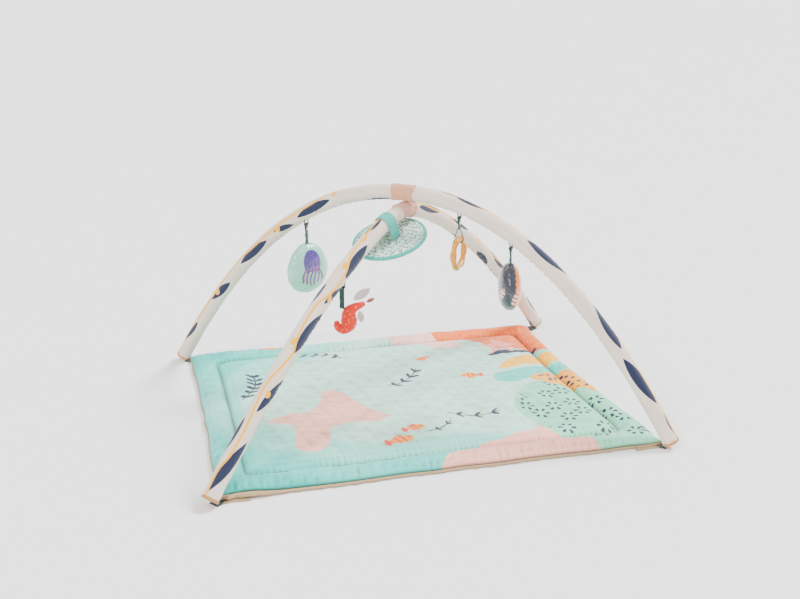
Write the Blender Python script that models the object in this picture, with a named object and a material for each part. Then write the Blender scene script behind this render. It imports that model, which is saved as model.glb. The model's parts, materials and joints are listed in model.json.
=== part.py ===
"""Activity play gym: a quilted floor mat under two crossed, fabric-covered arches with toys.

Metres, +Z up. The origin is on the floor, straight under the point where the arches cross.
+X runs along the mat's long side and -Y is its front. Arch A stands on the back-left and
front-right corners and passes over arch B, which stands on the front-left and back-right ones.
Every piece has its object's origin on the axis of the joint that moves it.
"""

from bisect import bisect_right
from math import acos, atan, cos, hypot, pi, radians, sin, sqrt, tan

import bmesh
import bpy
from mathutils import Matrix, Vector

# Driving dimensions
MAT_LENGTH = 0.850
MAT_DEPTH = 0.670
MAT_CORNER_RADIUS = 0.035
FOOT_OVERHANG = 0.014          # from the mat's edges to the middle of a foot, along X and Y
CROWN_HEIGHT_A = 0.4500        # centre line of the upper arch where the arches cross
CROWN_HEIGHT_B = 0.4155        # and of the lower one
CURVE_A = 2.13                 # exponent of the upper arch: 2 is a parabola
CURVE_B = 1.49                 # the lower arch has straighter legs

GAP = 0.0003                   # between two pieces that touch
FABRIC = 0.0012
WEBBING = 0.0016

# Arch: sleeve over foam over a rod in two halves
SLEEVE_RADIUS = 0.0155
FOAM_RADIUS = 0.0132
FOAM_BORE = 0.0059
ROD_RADIUS = 0.0050
ROD_BORE = 0.0033
SPIGOT_RADIUS = 0.0027
SPIGOT_LENGTH = 0.080
CAP_LENGTH = 0.003
CAP_RIM_RADIUS = 0.0130
ROD_SETBACK = 0.004
CROWN_BAND_WIDTH = 0.044
CROWN_BAND_THICKNESS = 0.0010
ARCH_SIDES = 10
FOAM_SIDES = 8
ROD_SIDES = 6
ARCH_STATIONS = 24

# Corner tabs under the feet
TAB_WIDTH = 0.022
TAB_REACH = 0.004              # past the middle of the foot

# Mat: heights of the cover's top over a distance in from its edge
MAT_PROFILE = (
    (0.0000, 0.0018),
    (0.0000, 0.0060),
    (0.0060, 0.0125),
    (0.0180, 0.0160),
    (0.0340, 0.0155),
    (0.0470, 0.0110),
    (0.0550, 0.0065),
    (0.0640, 0.0115),
    (0.0850, 0.0185),
    (0.1150, 0.0220),
)
SEAM_LEVEL = 6                 # the profile's point on the sewn line round the middle panel
PADDING_CLEARANCE = 0.0022
CORNER_STEPS = 3

# Hanging straps
LOOP_CORD_RADIUS = 0.0013
LOOP_HALF_WIDTH = 0.0078
LOOP_BEND = 0.0020
LOOP_DROP = 0.0080             # from the sleeve's underside to the loop's bar
EYE_RADIUS = 0.0030
EYE_BORE = 0.0019
STRAP_HALF_WIDTH = 0.0055
STRAP_HALF_THICKNESS = 0.0012
SNAP_RADIUS = 0.0034
SNAP_HEIGHT = 0.0016
SNAP_DROP = 0.0100
STRAP_TO_TOY = 0.0010

# Stuffed rattles: half width, half height, half thickness
RATTLE_SEGMENTS = 16
RATTLE_RINGS = 4
CAPSULE_RADIUS = 0.009
CAPSULE_LENGTH = 0.020

# Ring teether with beads
RING_RADIUS = 0.0290
RING_TUBE = 0.0060
RING_WAVE = 0.0007
RING_LOBES = 6
RING_WALL = 0.0012
RING_STEPS = 24
RING_SECTION = 4
BEAD_RADIUS = 0.0036
BEAD_SPACING = radians(17)
CORD_RADIUS = 0.0010
CORD_HALF_SPREAD = 0.0085
CORD_RISE = 0.0160             # from the top of the ring to the cord's knot

# Soft fish: its middle line as sideways place, height and thickness, from the tail to the mouth
FISH_SPINE = (
    (0.0435, 0.0060, 0.0040),
    (0.0345, 0.0025, 0.0070),
    (0.0235, -0.0025, 0.0090),
    (0.0145, -0.0100, 0.0120),
    (0.0125, -0.0210, 0.0140),
    (0.0125, -0.0320, 0.0155),
    (0.0065, -0.0420, 0.0130),
    (-0.0025, -0.0445, 0.0095),
    (-0.0095, -0.0380, 0.0070),
    (-0.0110, -0.0290, 0.0040),
)
FISH_FLATNESS = 0.85
FIN_THICKNESS = 0.0035
FISH_LEAVES = (
    ("_fin_upper", (0.0215, 0.0130), (0.0545, 0.0360), 0.0170, "fin_fabric"),
    ("_fin_lower", (0.0335, -0.0090), (0.0375, -0.0330), 0.0120, "fin_fabric"),
    ("_tail_tip", (0.0455, 0.0080), (0.0625, 0.0160), 0.0070, "tail_fabric"),
)

# Mirror
MIRROR_RADIUS = 0.0760
MIRROR_DROP = 0.0335           # from the arch's centre line to the disc's upper face
MIRROR_LEVELLING = 0.7         # share of the radius over which the disc follows the arch
BINDING_WIDTH = 0.0070
BINDING_WALL = 0.0026
BINDING_LIP = 0.0009
MIRROR_FOAM = 0.0030
MIRROR_PLATE = 0.0015
BAND_RADIUS = 0.0175
BAND_WIDTH = 0.0300
BAND_STEPS = 10
MIRROR_STEPS = 24

# Where the toys hang: arch parameter from -1 (left foot) over 0 (crown) to 1 (right foot)
MINT_AT = -0.400
RING_AT = 0.210
NAVY_AT = 0.402
FISH_AT = -0.354
MIRROR_AT = -0.109

MINT_SIZE = (0.0525, 0.0550, 0.0240)
NAVY_SIZE = (0.0470, 0.0475, 0.0220)
MINT_STRAP = 0.040
NAVY_STRAP = 0.030
RING_STRAP = 0.018
FISH_STRAP = 0.038
MINT_TWIST = radians(-22)
FISH_TWIST = radians(220)

FOOT_X = MAT_LENGTH / 2 + FOOT_OVERHANG
FOOT_Y = MAT_DEPTH / 2 + FOOT_OVERHANG
HALF_SPAN = hypot(FOOT_X, FOOT_Y)
ORIGIN = Vector((0, 0, 0))
UP = Vector((0, 0, 1))

COLOURS = {
    "mat_print": ((0.45, 0.80, 0.74), 0.80),
    "mat_base": ((0.72, 0.62, 0.50), 0.85),
    "wadding": ((0.93, 0.93, 0.91), 0.95),
    "sleeve_print": ((0.90, 0.87, 0.83), 0.80),
    "foam": ((0.80, 0.82, 0.84), 0.90),
    "rod": ((0.85, 0.85, 0.83), 0.35),
    "foot_cap": ((0.66, 0.44, 0.28), 0.60),
    "crown_band": ((0.82, 0.65, 0.53), 0.75),
    "green_webbing": ((0.00, 0.22, 0.21), 0.80),
    "snap": ((0.92, 0.88, 0.78), 0.35),
    "mint_film": ((0.52, 0.76, 0.68), 0.25),
    "navy_film": ((0.06, 0.11, 0.22), 0.30),
    "orange_film": ((0.95, 0.55, 0.12), 0.30),
    "capsule": ((0.95, 0.95, 0.95), 0.30),
    "ring": ((1.00, 0.62, 0.05), 0.20),
    "bead_blue": ((0.25, 0.50, 0.85), 0.20),
    "bead_green": ((0.45, 0.80, 0.50), 0.20),
    "bead_pink": ((0.95, 0.60, 0.60), 0.20),
    "orange_fabric": ((0.85, 0.22, 0.10), 0.80),
    "fin_fabric": ((0.86, 0.84, 0.82), 0.80),
    "tail_fabric": ((0.72, 0.50, 0.36), 0.80),
    "teal_binding": ((0.15, 0.62, 0.58), 0.75),
    "mirror_fabric": ((0.75, 0.90, 0.85), 0.80),
    "mirror_plate": ((0.90, 0.92, 0.93), 0.05),
}


# ---------------------------------------------------------------- objects

def clear_scene():
    for thing in list(bpy.data.objects):
        bpy.data.objects.remove(thing, do_unlink=True)


def material(slot):
    found = bpy.data.materials.get(slot)
    if found:
        return found
    colour, roughness = COLOURS[slot]
    made = bpy.data.materials.new(slot)
    made.use_nodes = True
    shader = made.node_tree.nodes["Principled BSDF"]
    shader.inputs["Base Color"].default_value = (*colour, 1)
    shader.inputs["Roughness"].default_value = roughness
    shader.inputs["Metallic"].default_value = 1.0 if slot == "mirror_plate" else 0.0
    return made


def finish(name, mesh, slot, pivot=ORIGIN, sharp=35):
    """Turn a world-space bmesh into a named object whose origin is at its pivot."""
    bmesh.ops.remove_doubles(mesh, verts=mesh.verts, dist=1e-6)
    bmesh.ops.recalc_face_normals(mesh, faces=mesh.faces)
    bmesh.ops.translate(mesh, verts=mesh.verts, vec=-pivot)
    data = bpy.data.meshes.new(name)
    mesh.to_mesh(data)
    mesh.free()
    data.materials.append(material(slot))
    data.shade_smooth()
    data.set_sharp_from_angle(angle=radians(sharp))
    made = bpy.data.objects.new(name, data)
    made.location = pivot
    bpy.context.collection.objects.link(made)
    return made


def add_ring(mesh, points):
    return [mesh.verts.new(point) for point in points]


def bridge(mesh, first, second):
    count = len(first)
    for i in range(count):
        j = (i + 1) % count
        mesh.faces.new((first[i], first[j], second[j], second[i]))


def skin(rings, closed=False):
    """A closed solid through a list of point rings, capped at both ends unless it is closed."""
    mesh = bmesh.new()
    made = [add_ring(mesh, ring) for ring in rings]
    for first, second in zip(made, made[1:]):
        bridge(mesh, first, second)
    if closed:
        bridge(mesh, made[-1], made[0])
    else:
        mesh.faces.new(made[0])
        mesh.faces.new(made[-1])
    return mesh


# ---------------------------------------------------------------- arches

class Arch:
    """The centre line of one arch and the directions along and across it."""

    def __init__(self, name, crown, exponent, back_left):
        self.name = name
        self.crown = crown
        self.exponent = exponent
        self.along = Vector((FOOT_X, -FOOT_Y if back_left else FOOT_Y, 0)).normalized()
        self.across = Vector((-self.along.y, self.along.x, 0))
        slope = atan(crown * exponent / HALF_SPAN)
        self.foot = WEBBING + 2 * GAP + SLEEVE_RADIUS * cos(slope)
        self.grid = self.even_grid(ARCH_STATIONS)

    def point(self, u):
        rise = (self.crown - self.foot) * (1 - abs(u) ** self.exponent)
        return self.along * (u * HALF_SPAN) + UP * (self.foot + rise)

    def tangent(self, u):
        slope = -(self.crown - self.foot) * self.exponent * abs(u) ** (self.exponent - 1)
        if u < 0:
            slope = -slope
        return (self.along * HALF_SPAN + UP * slope).normalized()

    def slope(self, u):
        return acos(self.tangent(u).dot(self.along))

    def at_length(self, u, length):
        """The parameter a given length further along the arch, towards the crown if negative."""
        return u + length * cos(self.slope(u)) / HALF_SPAN

    def even_grid(self, count):
        """Parameters from foot to foot that lie at even lengths along the arch."""
        fine = 800
        steps = [-1 + 2 * i / fine for i in range(fine + 1)]
        lengths = [0.0]
        for a, b in zip(steps, steps[1:]):
            lengths.append(lengths[-1] + (self.point(b) - self.point(a)).length)
        found = []
        k = 0
        for i in range(count + 1):
            target = lengths[-1] * i / count
            while k < fine - 1 and lengths[k + 1] < target:
                k += 1
            part = (target - lengths[k]) / (lengths[k + 1] - lengths[k])
            found.append(steps[k] + (steps[k + 1] - steps[k]) * part)
        found[count // 2] = 0.0
        return found

    def grid_circle(self, u, radius, sides):
        centre = self.point(u)
        over = self.across.cross(self.tangent(u))
        turns = [2 * pi * (i + 0.5) / sides for i in range(sides)]
        return [centre + (self.across * cos(t) + over * sin(t)) * radius for t in turns]

    def circle(self, u, radius, sides):
        """A ring of points on the faceted tube, so that nested tubes keep their gap."""
        k = min(max(bisect_right(self.grid, u) - 1, 0), len(self.grid) - 2)
        part = (u - self.grid[k]) / (self.grid[k + 1] - self.grid[k])
        before = self.grid_circle(self.grid[k], radius, sides)
        after = self.grid_circle(self.grid[k + 1], radius, sides)
        return [a.lerp(b, part) for a, b in zip(before, after)]

    def stations(self, start, end):
        """The grid's parameters between two places, with the places themselves."""
        margin = 0.003
        inside = [u for u in self.grid if start + margin < u < end - margin]
        return [start] + inside + [end]

    def rod(self, start, end, radius, sides):
        return skin([self.circle(u, radius, sides) for u in self.stations(start, end)])

    def tube(self, start, end, outer, bore, sides):
        places = self.stations(start, end)
        rings = [self.circle(u, outer, sides) for u in places]
        rings += [self.circle(u, bore, sides) for u in reversed(places)]
        return skin(rings, closed=True)

    def underside(self, u):
        """Height of the sleeve's lowest line in the upright plane across the arch at u."""
        return self.point(u).z - SLEEVE_RADIUS / cos(self.slope(u))


def build_arch(arch):
    """Sleeve, foam, two rod halves with their spigot, and a closed end at each foot."""
    left = arch.at_length(-1, CAP_LENGTH)
    right = -left
    pivot = Vector((0, 0, arch.crown))
    sleeve = arch.tube(left, right, SLEEVE_RADIUS, SLEEVE_RADIUS - FABRIC, ARCH_SIDES)
    finish(arch.name + "_sleeve", sleeve, "sleeve_print", pivot)
    foam_end = arch.at_length(left, ROD_SETBACK)
    foam = arch.tube(foam_end, -foam_end, FOAM_RADIUS, FOAM_BORE, FOAM_SIDES)
    finish(arch.name + "_foam", foam, "foam", pivot)
    split = GAP / HALF_SPAN
    for side, start, end in (("left", foam_end, -split), ("right", split, -foam_end)):
        half = arch.tube(start, end, ROD_RADIUS, ROD_BORE, ROD_SIDES)
        finish(arch.name + "_rod_" + side, half, "rod", pivot)
    reach = SPIGOT_LENGTH / 2 / HALF_SPAN
    spigot = arch.rod(-reach, reach, SPIGOT_RADIUS, ROD_SIDES)
    finish(arch.name + "_spigot", spigot, "rod", pivot)
    gap = GAP * cos(arch.slope(1)) / HALF_SPAN
    for side, sign in (("left", -1), ("right", 1)):
        inner = sign * (right + gap)
        middle = sign * arch.at_length(1, -CAP_LENGTH / 3)
        rings = [
            arch.circle(inner, SLEEVE_RADIUS, ARCH_SIDES),
            arch.circle(middle, SLEEVE_RADIUS, ARCH_SIDES),
            arch.circle(sign, CAP_RIM_RADIUS, ARCH_SIDES),
        ]
        finish(arch.name + "_foot_cap_" + side, skin(rings), "foot_cap", pivot)
    band = CROWN_BAND_WIDTH / 2 / HALF_SPAN
    bore = SLEEVE_RADIUS + GAP
    wrap = arch.tube(-band, band, bore + CROWN_BAND_THICKNESS, bore, ARCH_SIDES)
    finish("crown_band_" + arch.name[-1], wrap, "crown_band", pivot)


# ---------------------------------------------------------------- mat

def rounded_outline(inset, height):
    """A rounded rectangle, a distance in from the mat's edge."""
    radius = max(MAT_CORNER_RADIUS - inset, 0.006)
    x = MAT_LENGTH / 2 - inset - radius
    y = MAT_DEPTH / 2 - inset - radius
    points = []
    for quarter, (sx, sy) in enumerate(((1, 1), (-1, 1), (-1, -1), (1, -1))):
        for i in range(CORNER_STEPS + 1):
            turn = pi / 2 * (quarter + i / CORNER_STEPS)
            points.append(Vector((sx * x + radius * cos(turn), sy * y + radius * sin(turn), height)))
    return points


def offset_profile(profile, distance):
    """A profile moved towards the inside of the quilt, square to itself."""
    moved = []
    last = len(profile) - 1
    for i in range(len(profile)):
        before = Vector(profile[max(i - 1, 0)])
        after = Vector(profile[min(i + 1, last)])
        step = (after - before).normalized()
        inset, height = profile[i]
        moved.append((inset + step.y * distance, height - step.x * distance))
    return moved


def outlines(profile):
    return [rounded_outline(inset, height) for inset, height in profile]


def build_mat():
    base = [(0.0, 0.0), (0.0, FABRIC)]
    finish("mat_base_cover", skin(outlines(base)), "mat_base")
    inner = offset_profile(MAT_PROFILE, FABRIC)
    inner[0] = (FABRIC, MAT_PROFILE[0][1])
    cover = skin(outlines(list(MAT_PROFILE[::-1]) + inner))
    finish("mat_top_cover", cover, "mat_print")
    floor = FABRIC + GAP
    padded = offset_profile(MAT_PROFILE, PADDING_CLEARANCE)
    border = padded[1:SEAM_LEVEL]
    ring = [(border[0][0], floor)] + border + [(border[-1][0], floor)]
    finish("mat_border_padding", skin(outlines(ring), closed=True), "wadding")
    middle = padded[SEAM_LEVEL + 1:]
    block = [(middle[0][0], floor)] + middle
    finish("mat_centre_padding", skin(outlines(block)), "wadding")


def build_corner_tabs(arches):
    """A flat webbing tab from each corner of the mat to under the foot that stands there."""
    corner = Vector((MAT_LENGTH / 2 - MAT_CORNER_RADIUS, MAT_DEPTH / 2 - MAT_CORNER_RADIUS, 0))
    for arch in arches:
        for side, sign in (("left", -1), ("right", 1)):
            out = arch.along * sign
            start = corner.x * abs(out.x) + corner.y * abs(out.y) + MAT_CORNER_RADIUS + 2 * GAP
            end = HALF_SPAN + TAB_REACH
            half = TAB_WIDTH / 2
            rings = []
            for reach, narrow in ((start, 1.0), (end - half, 1.0), (end - half / 4, 0.72), (end, 0.4)):
                edge = arch.across * (half * narrow)
                middle = out * reach
                rings.append([
                    middle - edge,
                    middle + edge,
                    middle + edge + UP * WEBBING,
                    middle - edge + UP * WEBBING,
                ])
            row = "back" if (out.y > 0) else "front"
            finish("corner_tab_" + row + "_" + side, skin(rings), "green_webbing")


# ---------------------------------------------------------------- straps and toys

class Hanger:
    """A place on an arch's underside where something hangs, with its own directions."""

    def __init__(self, arch, u, twist=0.0):
        self.along = arch.along
        self.across = arch.across
        middle = arch.point(u)
        self.top = arch.underside(u)
        self.slope = arch.slope(u)
        self.pivot = Vector((middle.x, middle.y, self.top - LOOP_DROP))
        turn = Matrix.Rotation(twist, 3, "Z")
        self.facing = turn @ self.along
        self.side = turn @ self.across


def sweep(points, radius, sides, closed=False):
    """A round cord through points that lie in one plane."""
    count = len(points)
    normal = (points[1] - points[0]).cross(points[2] - points[0]).normalized()
    rings = []
    for i, point in enumerate(points):
        before = points[i - 1] if (closed or i > 0) else point
        after = points[(i + 1) % count] if (closed or i < count - 1) else point
        forward = (after - before).normalized()
        out = forward.cross(normal)
        turns = [2 * pi * k / sides for k in range(sides)]
        rings.append([point + (normal * cos(t) + out * sin(t)) * radius for t in turns])
    return skin(rings, closed)


def build_loop(name, hanger):
    """The sewn stirrup on the sleeve: two legs and the bar that the strap is folded over."""
    bend = LOOP_BEND
    lift = LOOP_HALF_WIDTH ** 2 / (2 * SLEEVE_RADIUS)
    leg_top = LOOP_DROP + lift - LOOP_CORD_RADIUS * (tan(hanger.slope) + 0.4) - GAP
    flat = [(-LOOP_HALF_WIDTH, leg_top)]
    for i in range(4):
        turn = pi + pi / 2 * i / 3
        flat.append((-LOOP_HALF_WIDTH + bend + bend * cos(turn), bend + bend * sin(turn)))
    flat += [(-x, z) for x, z in reversed(flat)]
    points = [hanger.pivot + hanger.across * x + UP * z for x, z in flat]
    finish(name + "_loop", sweep(points, LOOP_CORD_RADIUS, 6), "green_webbing")


def build_strap(name, hanger, length):
    """A webbing strap with an eye round the loop's bar and a rounded lower end."""
    tongue = STRAP_HALF_WIDTH
    levels = [-length + tongue * (1 - sin(radians(a))) for a in (90, 62, 35, 0)]
    side = [(STRAP_HALF_THICKNESS, z) for z in levels]
    start = acos(STRAP_HALF_THICKNESS / EYE_RADIUS)
    sweep_angle = pi + 2 * start
    for i in range(9):
        turn = -start + sweep_angle * i / 8
        side.append((EYE_RADIUS * cos(turn), EYE_RADIUS * sin(turn)))
    side += [(-STRAP_HALF_THICKNESS, z) for z in reversed(levels)]
    bore = [(EYE_BORE * cos(2 * pi * i / 10), EYE_BORE * sin(2 * pi * i / 10)) for i in range(10)]
    mesh = bmesh.new()
    edges = []
    for outline in (side, bore):
        ring = add_ring(mesh, [Vector((x, -STRAP_HALF_WIDTH, z)) for x, z in outline])
        edges += [mesh.edges.new((ring[i - 1], ring[i])) for i in range(len(ring))]
    filled = bmesh.ops.triangle_fill(mesh, edges=edges, use_dissolve=False)
    faces = [f for f in filled["geom"] if isinstance(f, bmesh.types.BMFace)]
    grown = bmesh.ops.extrude_face_region(mesh, geom=faces)
    copied = [v for v in grown["geom"] if isinstance(v, bmesh.types.BMVert)]
    bmesh.ops.translate(mesh, verts=copied, vec=(0, 2 * STRAP_HALF_WIDTH, 0))
    centre = -length + tongue
    for vert in mesh.verts:
        if vert.co.z < centre - 1e-6:
            share = sqrt(max(1 - ((centre - vert.co.z) / tongue) ** 2, 0.02))
            vert.co.y *= share
    frame = Matrix((hanger.along, hanger.across, UP)).transposed().to_4x4()
    bmesh.ops.transform(mesh, verts=mesh.verts, matrix=Matrix.Translation(hanger.pivot) @ frame)
    finish(name + "_strap", mesh, "green_webbing", hanger.pivot)


def build_snap(name, hanger, drop=SNAP_DROP):
    """A press stud on the strap's face."""
    centre = hanger.pivot - UP * drop + hanger.along * (STRAP_HALF_THICKNESS + GAP)
    rings = []
    for radius, height in ((0.9, 0.0), (1.0, 0.35), (0.8, 0.8), (0.35, 1.0)):
        turns = [2 * pi * i / 10 for i in range(10)]
        rings.append([
            centre + hanger.along * (height * SNAP_HEIGHT)
            + (hanger.across * cos(t) + UP * sin(t)) * (radius * SNAP_RADIUS)
            for t in turns
        ])
    finish(name + "_snap", skin(rings), "snap", hanger.pivot)


def dome(centre, hanger, size, sign, lift):
    """Rings of half an ellipsoid, from its rim to near its pole."""
    width, height, depth = size
    rings = []
    for i in range(RATTLE_RINGS + 1):
        lean = pi / 2 * i / (RATTLE_RINGS + 0.6)
        turns = [2 * pi * k / RATTLE_SEGMENTS for k in range(RATTLE_SEGMENTS)]
        rings.append([
            centre + hanger.facing * (sign * (lift + depth * sin(lean)))
            + hanger.side * (width * cos(lean) * cos(t))
            + UP * (height * cos(lean) * sin(t))
            for t in turns
        ])
    return rings


def build_rattle(name, hanger, size, strap_length, slots):
    """A stuffed toy: two sewn panels, the filling and the rattle capsule in its pocket."""
    top = hanger.pivot - UP * (strap_length + STRAP_TO_TOY)
    centre = top - UP * size[1]
    inner = [s - FABRIC for s in size]
    for side, sign, slot in (("front", 1, slots[0]), ("back", -1, slots[1])):
        outside = dome(centre, hanger, size, sign, GAP / 2)
        inside = dome(centre, hanger, inner, sign, GAP / 2)
        shell = skin(outside[::-1] + inside)
        finish(name + "_" + side + "_panel", shell, slot, top)
    packed = [s - GAP for s in inner]
    solid = dome(centre, hanger, packed, 1, 0.0)[::-1] + dome(centre, hanger, packed, -1, 0.0)[1:]
    filling = finish(name + "_filling", skin(solid), "wadding", top)
    pocket_end = centre + hanger.facing * (CAPSULE_LENGTH / 2 + GAP)
    pocket_start = centre - hanger.facing * (size[2] + 0.004)
    pocket = round_bar(pocket_start, pocket_end, hanger, CAPSULE_RADIUS + GAP, 16)
    cutter = finish(name + "_pocket_cutter", pocket, "wadding", top)
    cutter.display_type = "WIRE"
    cutter.hide_render = True
    cut = filling.modifiers.new("pocket", "BOOLEAN")
    cut.operation = "DIFFERENCE"
    cut.object = cutter
    ends = [centre + hanger.facing * (s * CAPSULE_LENGTH / 2) for s in (-1, 1)]
    capsule = round_bar(ends[0], ends[1], hanger, CAPSULE_RADIUS, 12)
    finish(name + "_capsule", capsule, "capsule", top)


def round_bar(start, end, hanger, radius, sides):
    turns = [2 * pi * i / sides for i in range(sides)]
    rings = []
    for point in (start, end):
        rings.append([point + (hanger.side * cos(t) + UP * sin(t)) * radius for t in turns])
    return skin(rings)


def ring_half(centre, hanger, sign):
    """Half of the teether's hollow shell, split on the ring's middle plane."""
    rings = []
    for i in range(RING_STEPS):
        turn = 2 * pi * i / RING_STEPS
        out = hanger.across * cos(turn) + UP * sin(turn)
        outer = RING_TUBE + RING_WAVE * cos(RING_LOBES * turn)
        section = []
        across = range(RING_SECTION + 1)
        for radius, order in ((outer, across), (outer - RING_WALL, across[::-1])):
            for k in order:
                lean = pi * k / RING_SECTION
                rise = hanger.along * (sign * (GAP / 2 + radius * sin(lean)))
                section.append(centre + out * (RING_RADIUS + radius * cos(lean)) + rise)
        rings.append(section)
    return skin(rings, closed=True)


def ball(centre, radius):
    mesh = bmesh.new()
    place = Matrix.Translation(centre)
    bmesh.ops.create_icosphere(mesh, subdivisions=2, radius=radius, matrix=place)
    return mesh


def build_ring_toy(name, hanger):
    """The wavy hollow ring with beads inside, hung in a thin cord."""
    knot = hanger.pivot - UP * (RING_STRAP + STRAP_TO_TOY)
    ring_top = knot - UP * (CORD_RISE + CORD_RADIUS)
    centre = ring_top - UP * (RING_RADIUS + RING_TUBE + RING_WAVE)
    for side, sign in (("front", 1), ("back", -1)):
        finish(name + "_shell_" + side, ring_half(centre, hanger, sign), "ring", knot)
    for i, colour in enumerate(("blue", "green", "pink")):
        turn = -pi / 2 + (i - 1) * BEAD_SPACING
        spot = centre + (hanger.across * cos(turn) + UP * sin(turn)) * RING_RADIUS
        finish(name + "_bead_" + colour, ball(spot, BEAD_RADIUS), "bead_" + colour, centre)
    low = centre.z + RING_RADIUS
    under = RING_TUBE + RING_WAVE + CORD_RADIUS + 2 * GAP
    flat = [(0.0, knot.z - CORD_RADIUS)]
    flat.append((CORD_HALF_SPREAD * 0.5, (knot.z + low + under) / 2))
    for i in range(7):
        turn = radians(20) - radians(220) * i / 6
        flat.append((under * cos(turn) * 1.06, low + under * sin(turn)))
    flat.append((-CORD_HALF_SPREAD * 0.5, (knot.z + low + under) / 2))
    base = Vector((hanger.pivot.x, hanger.pivot.y, 0))
    points = [base + hanger.along * x + UP * z for x, z in flat]
    finish(name + "_cord", sweep(points, CORD_RADIUS, 6, closed=True), "green_webbing", knot)


def flat_pad(outline, thickness, rim, hanger, base):
    """A padded leaf: an outline across the toy's face, thick in the middle and thin at its rim."""
    cx = sum(x for x, _ in outline) / len(outline)
    cz = sum(z for _, z in outline) / len(outline)
    rings = []
    for share, depth in ((0.55, -1.0), (0.86, -0.75), (1.0, -rim), (1.0, rim), (0.86, 0.75), (0.55, 1.0)):
        ring = []
        for x, z in outline:
            spot = base + hanger.side * (cx + (x - cx) * share) + UP * (cz + (z - cz) * share)
            ring.append(spot + hanger.facing * (depth * thickness / 2))
        rings.append(ring)
    return skin(rings)


def leaf_outline(start, end, width, count=5):
    """A pointed leaf between two places on the toy's face."""
    a = Vector(start)
    b = Vector(end)
    step = b - a
    side = Vector((-step.y, step.x)).normalized() * (width / 2)
    points = []
    for sign in (1, -1):
        for i in range(count):
            t = i / count
            share = t if sign > 0 else 1 - t
            spot = a + step * share + side * (sign * sin(pi * share) ** 0.8)
            points.append((spot.x, spot.y))
    return points


def build_fish(name, hanger):
    """A soft leaping fish: a curled padded body, two fins and a tail tip."""
    top = hanger.pivot - UP * (FISH_STRAP + STRAP_TO_TOY)
    spine = [Vector(spot[:2]) for spot in FISH_SPINE]
    rings = []
    for i, spot in enumerate(spine):
        before = spine[max(i - 1, 0)]
        after = spine[min(i + 1, len(spine) - 1)]
        forward = (after - before).normalized()
        out = hanger.side * forward.y - UP * forward.x
        middle = top + hanger.side * spot.x + UP * spot.y
        thick = FISH_SPINE[i][2]
        turns = [2 * pi * k / 10 for k in range(10)]
        rings.append([
            middle + (out * cos(t) + hanger.facing * (sin(t) * FISH_FLATNESS)) * thick for t in turns
        ])
    finish(name + "_body", skin(rings), "orange_fabric", top)
    for suffix, start, end, width, slot in FISH_LEAVES:
        leaf = leaf_outline(start, end, width)
        finish(name + suffix, flat_pad(leaf, FIN_THICKNESS, 0.35, hanger, top), slot, top)


# ---------------------------------------------------------------- mirror

def build_mirror(arch):
    """A bound fabric disc with a mirror plate below, held by a wide band round the arch."""
    pivot = arch.point(MIRROR_AT)
    reach = MIRROR_LEVELLING * MIRROR_RADIUS / HALF_SPAN
    forward = (arch.point(MIRROR_AT + reach) - arch.point(MIRROR_AT - reach)).normalized()
    side = arch.across
    up = forward.cross(side)
    if up.z < 0:
        up = -up

    def turned(profile, closed):
        rings = []
        for i in range(MIRROR_STEPS):
            turn = 2 * pi * i / MIRROR_STEPS
            out = forward * cos(turn) + side * sin(turn)
            rings.append([pivot + out * radius + up * height for radius, height in profile])
        if closed:
            return skin(rings, closed=True)
        return skin([list(level) for level in zip(*rings)])

    top = -MIRROR_DROP
    back_top = top - BINDING_LIP - GAP
    back_low = back_top - FABRIC
    foam_top = back_low - GAP
    foam_low = foam_top - MIRROR_FOAM
    plate_top = foam_low - GAP
    plate_low = plate_top - MIRROR_PLATE
    bottom = plate_low - GAP - BINDING_LIP
    disc = MIRROR_RADIUS - BINDING_WALL - GAP
    lip = MIRROR_RADIUS - BINDING_WIDTH
    binding = [
        (MIRROR_RADIUS, bottom),
        (MIRROR_RADIUS, top),
        (lip, top),
        (lip, top - BINDING_LIP),
        (disc + GAP, top - BINDING_LIP),
        (disc + GAP, bottom + BINDING_LIP),
        (lip, bottom + BINDING_LIP),
        (lip, bottom),
    ]
    finish("mirror_binding", turned(binding, True), "teal_binding", pivot)
    layers = (
        ("mirror_back_panel", back_top, back_low, "mirror_fabric"),
        ("mirror_foam", foam_top, foam_low, "foam"),
        ("mirror_plate", plate_top, plate_low, "mirror_plate"),
    )
    for name, high, low, slot in layers:
        finish(name, turned([(disc, high), (disc, low)], False), slot, pivot)

    foot = back_top + GAP
    rings = []
    for along in (-BAND_WIDTH / 2, BAND_WIDTH / 2):
        outline = []
        for radius, order in ((BAND_RADIUS + WEBBING, 1), (BAND_RADIUS, -1)):
            arc = [(radius, foot)]
            for i in range(BAND_STEPS + 1):
                turn = pi * i / BAND_STEPS
                arc.append((radius * cos(turn), radius * sin(turn)))
            arc.append((-radius, foot))
            outline += arc[::order]
        rings.append([pivot + forward * along + side * x + up * z for x, z in outline])
    finish("mirror_band", skin(rings), "teal_binding", pivot)


# ---------------------------------------------------------------- assembly

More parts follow.
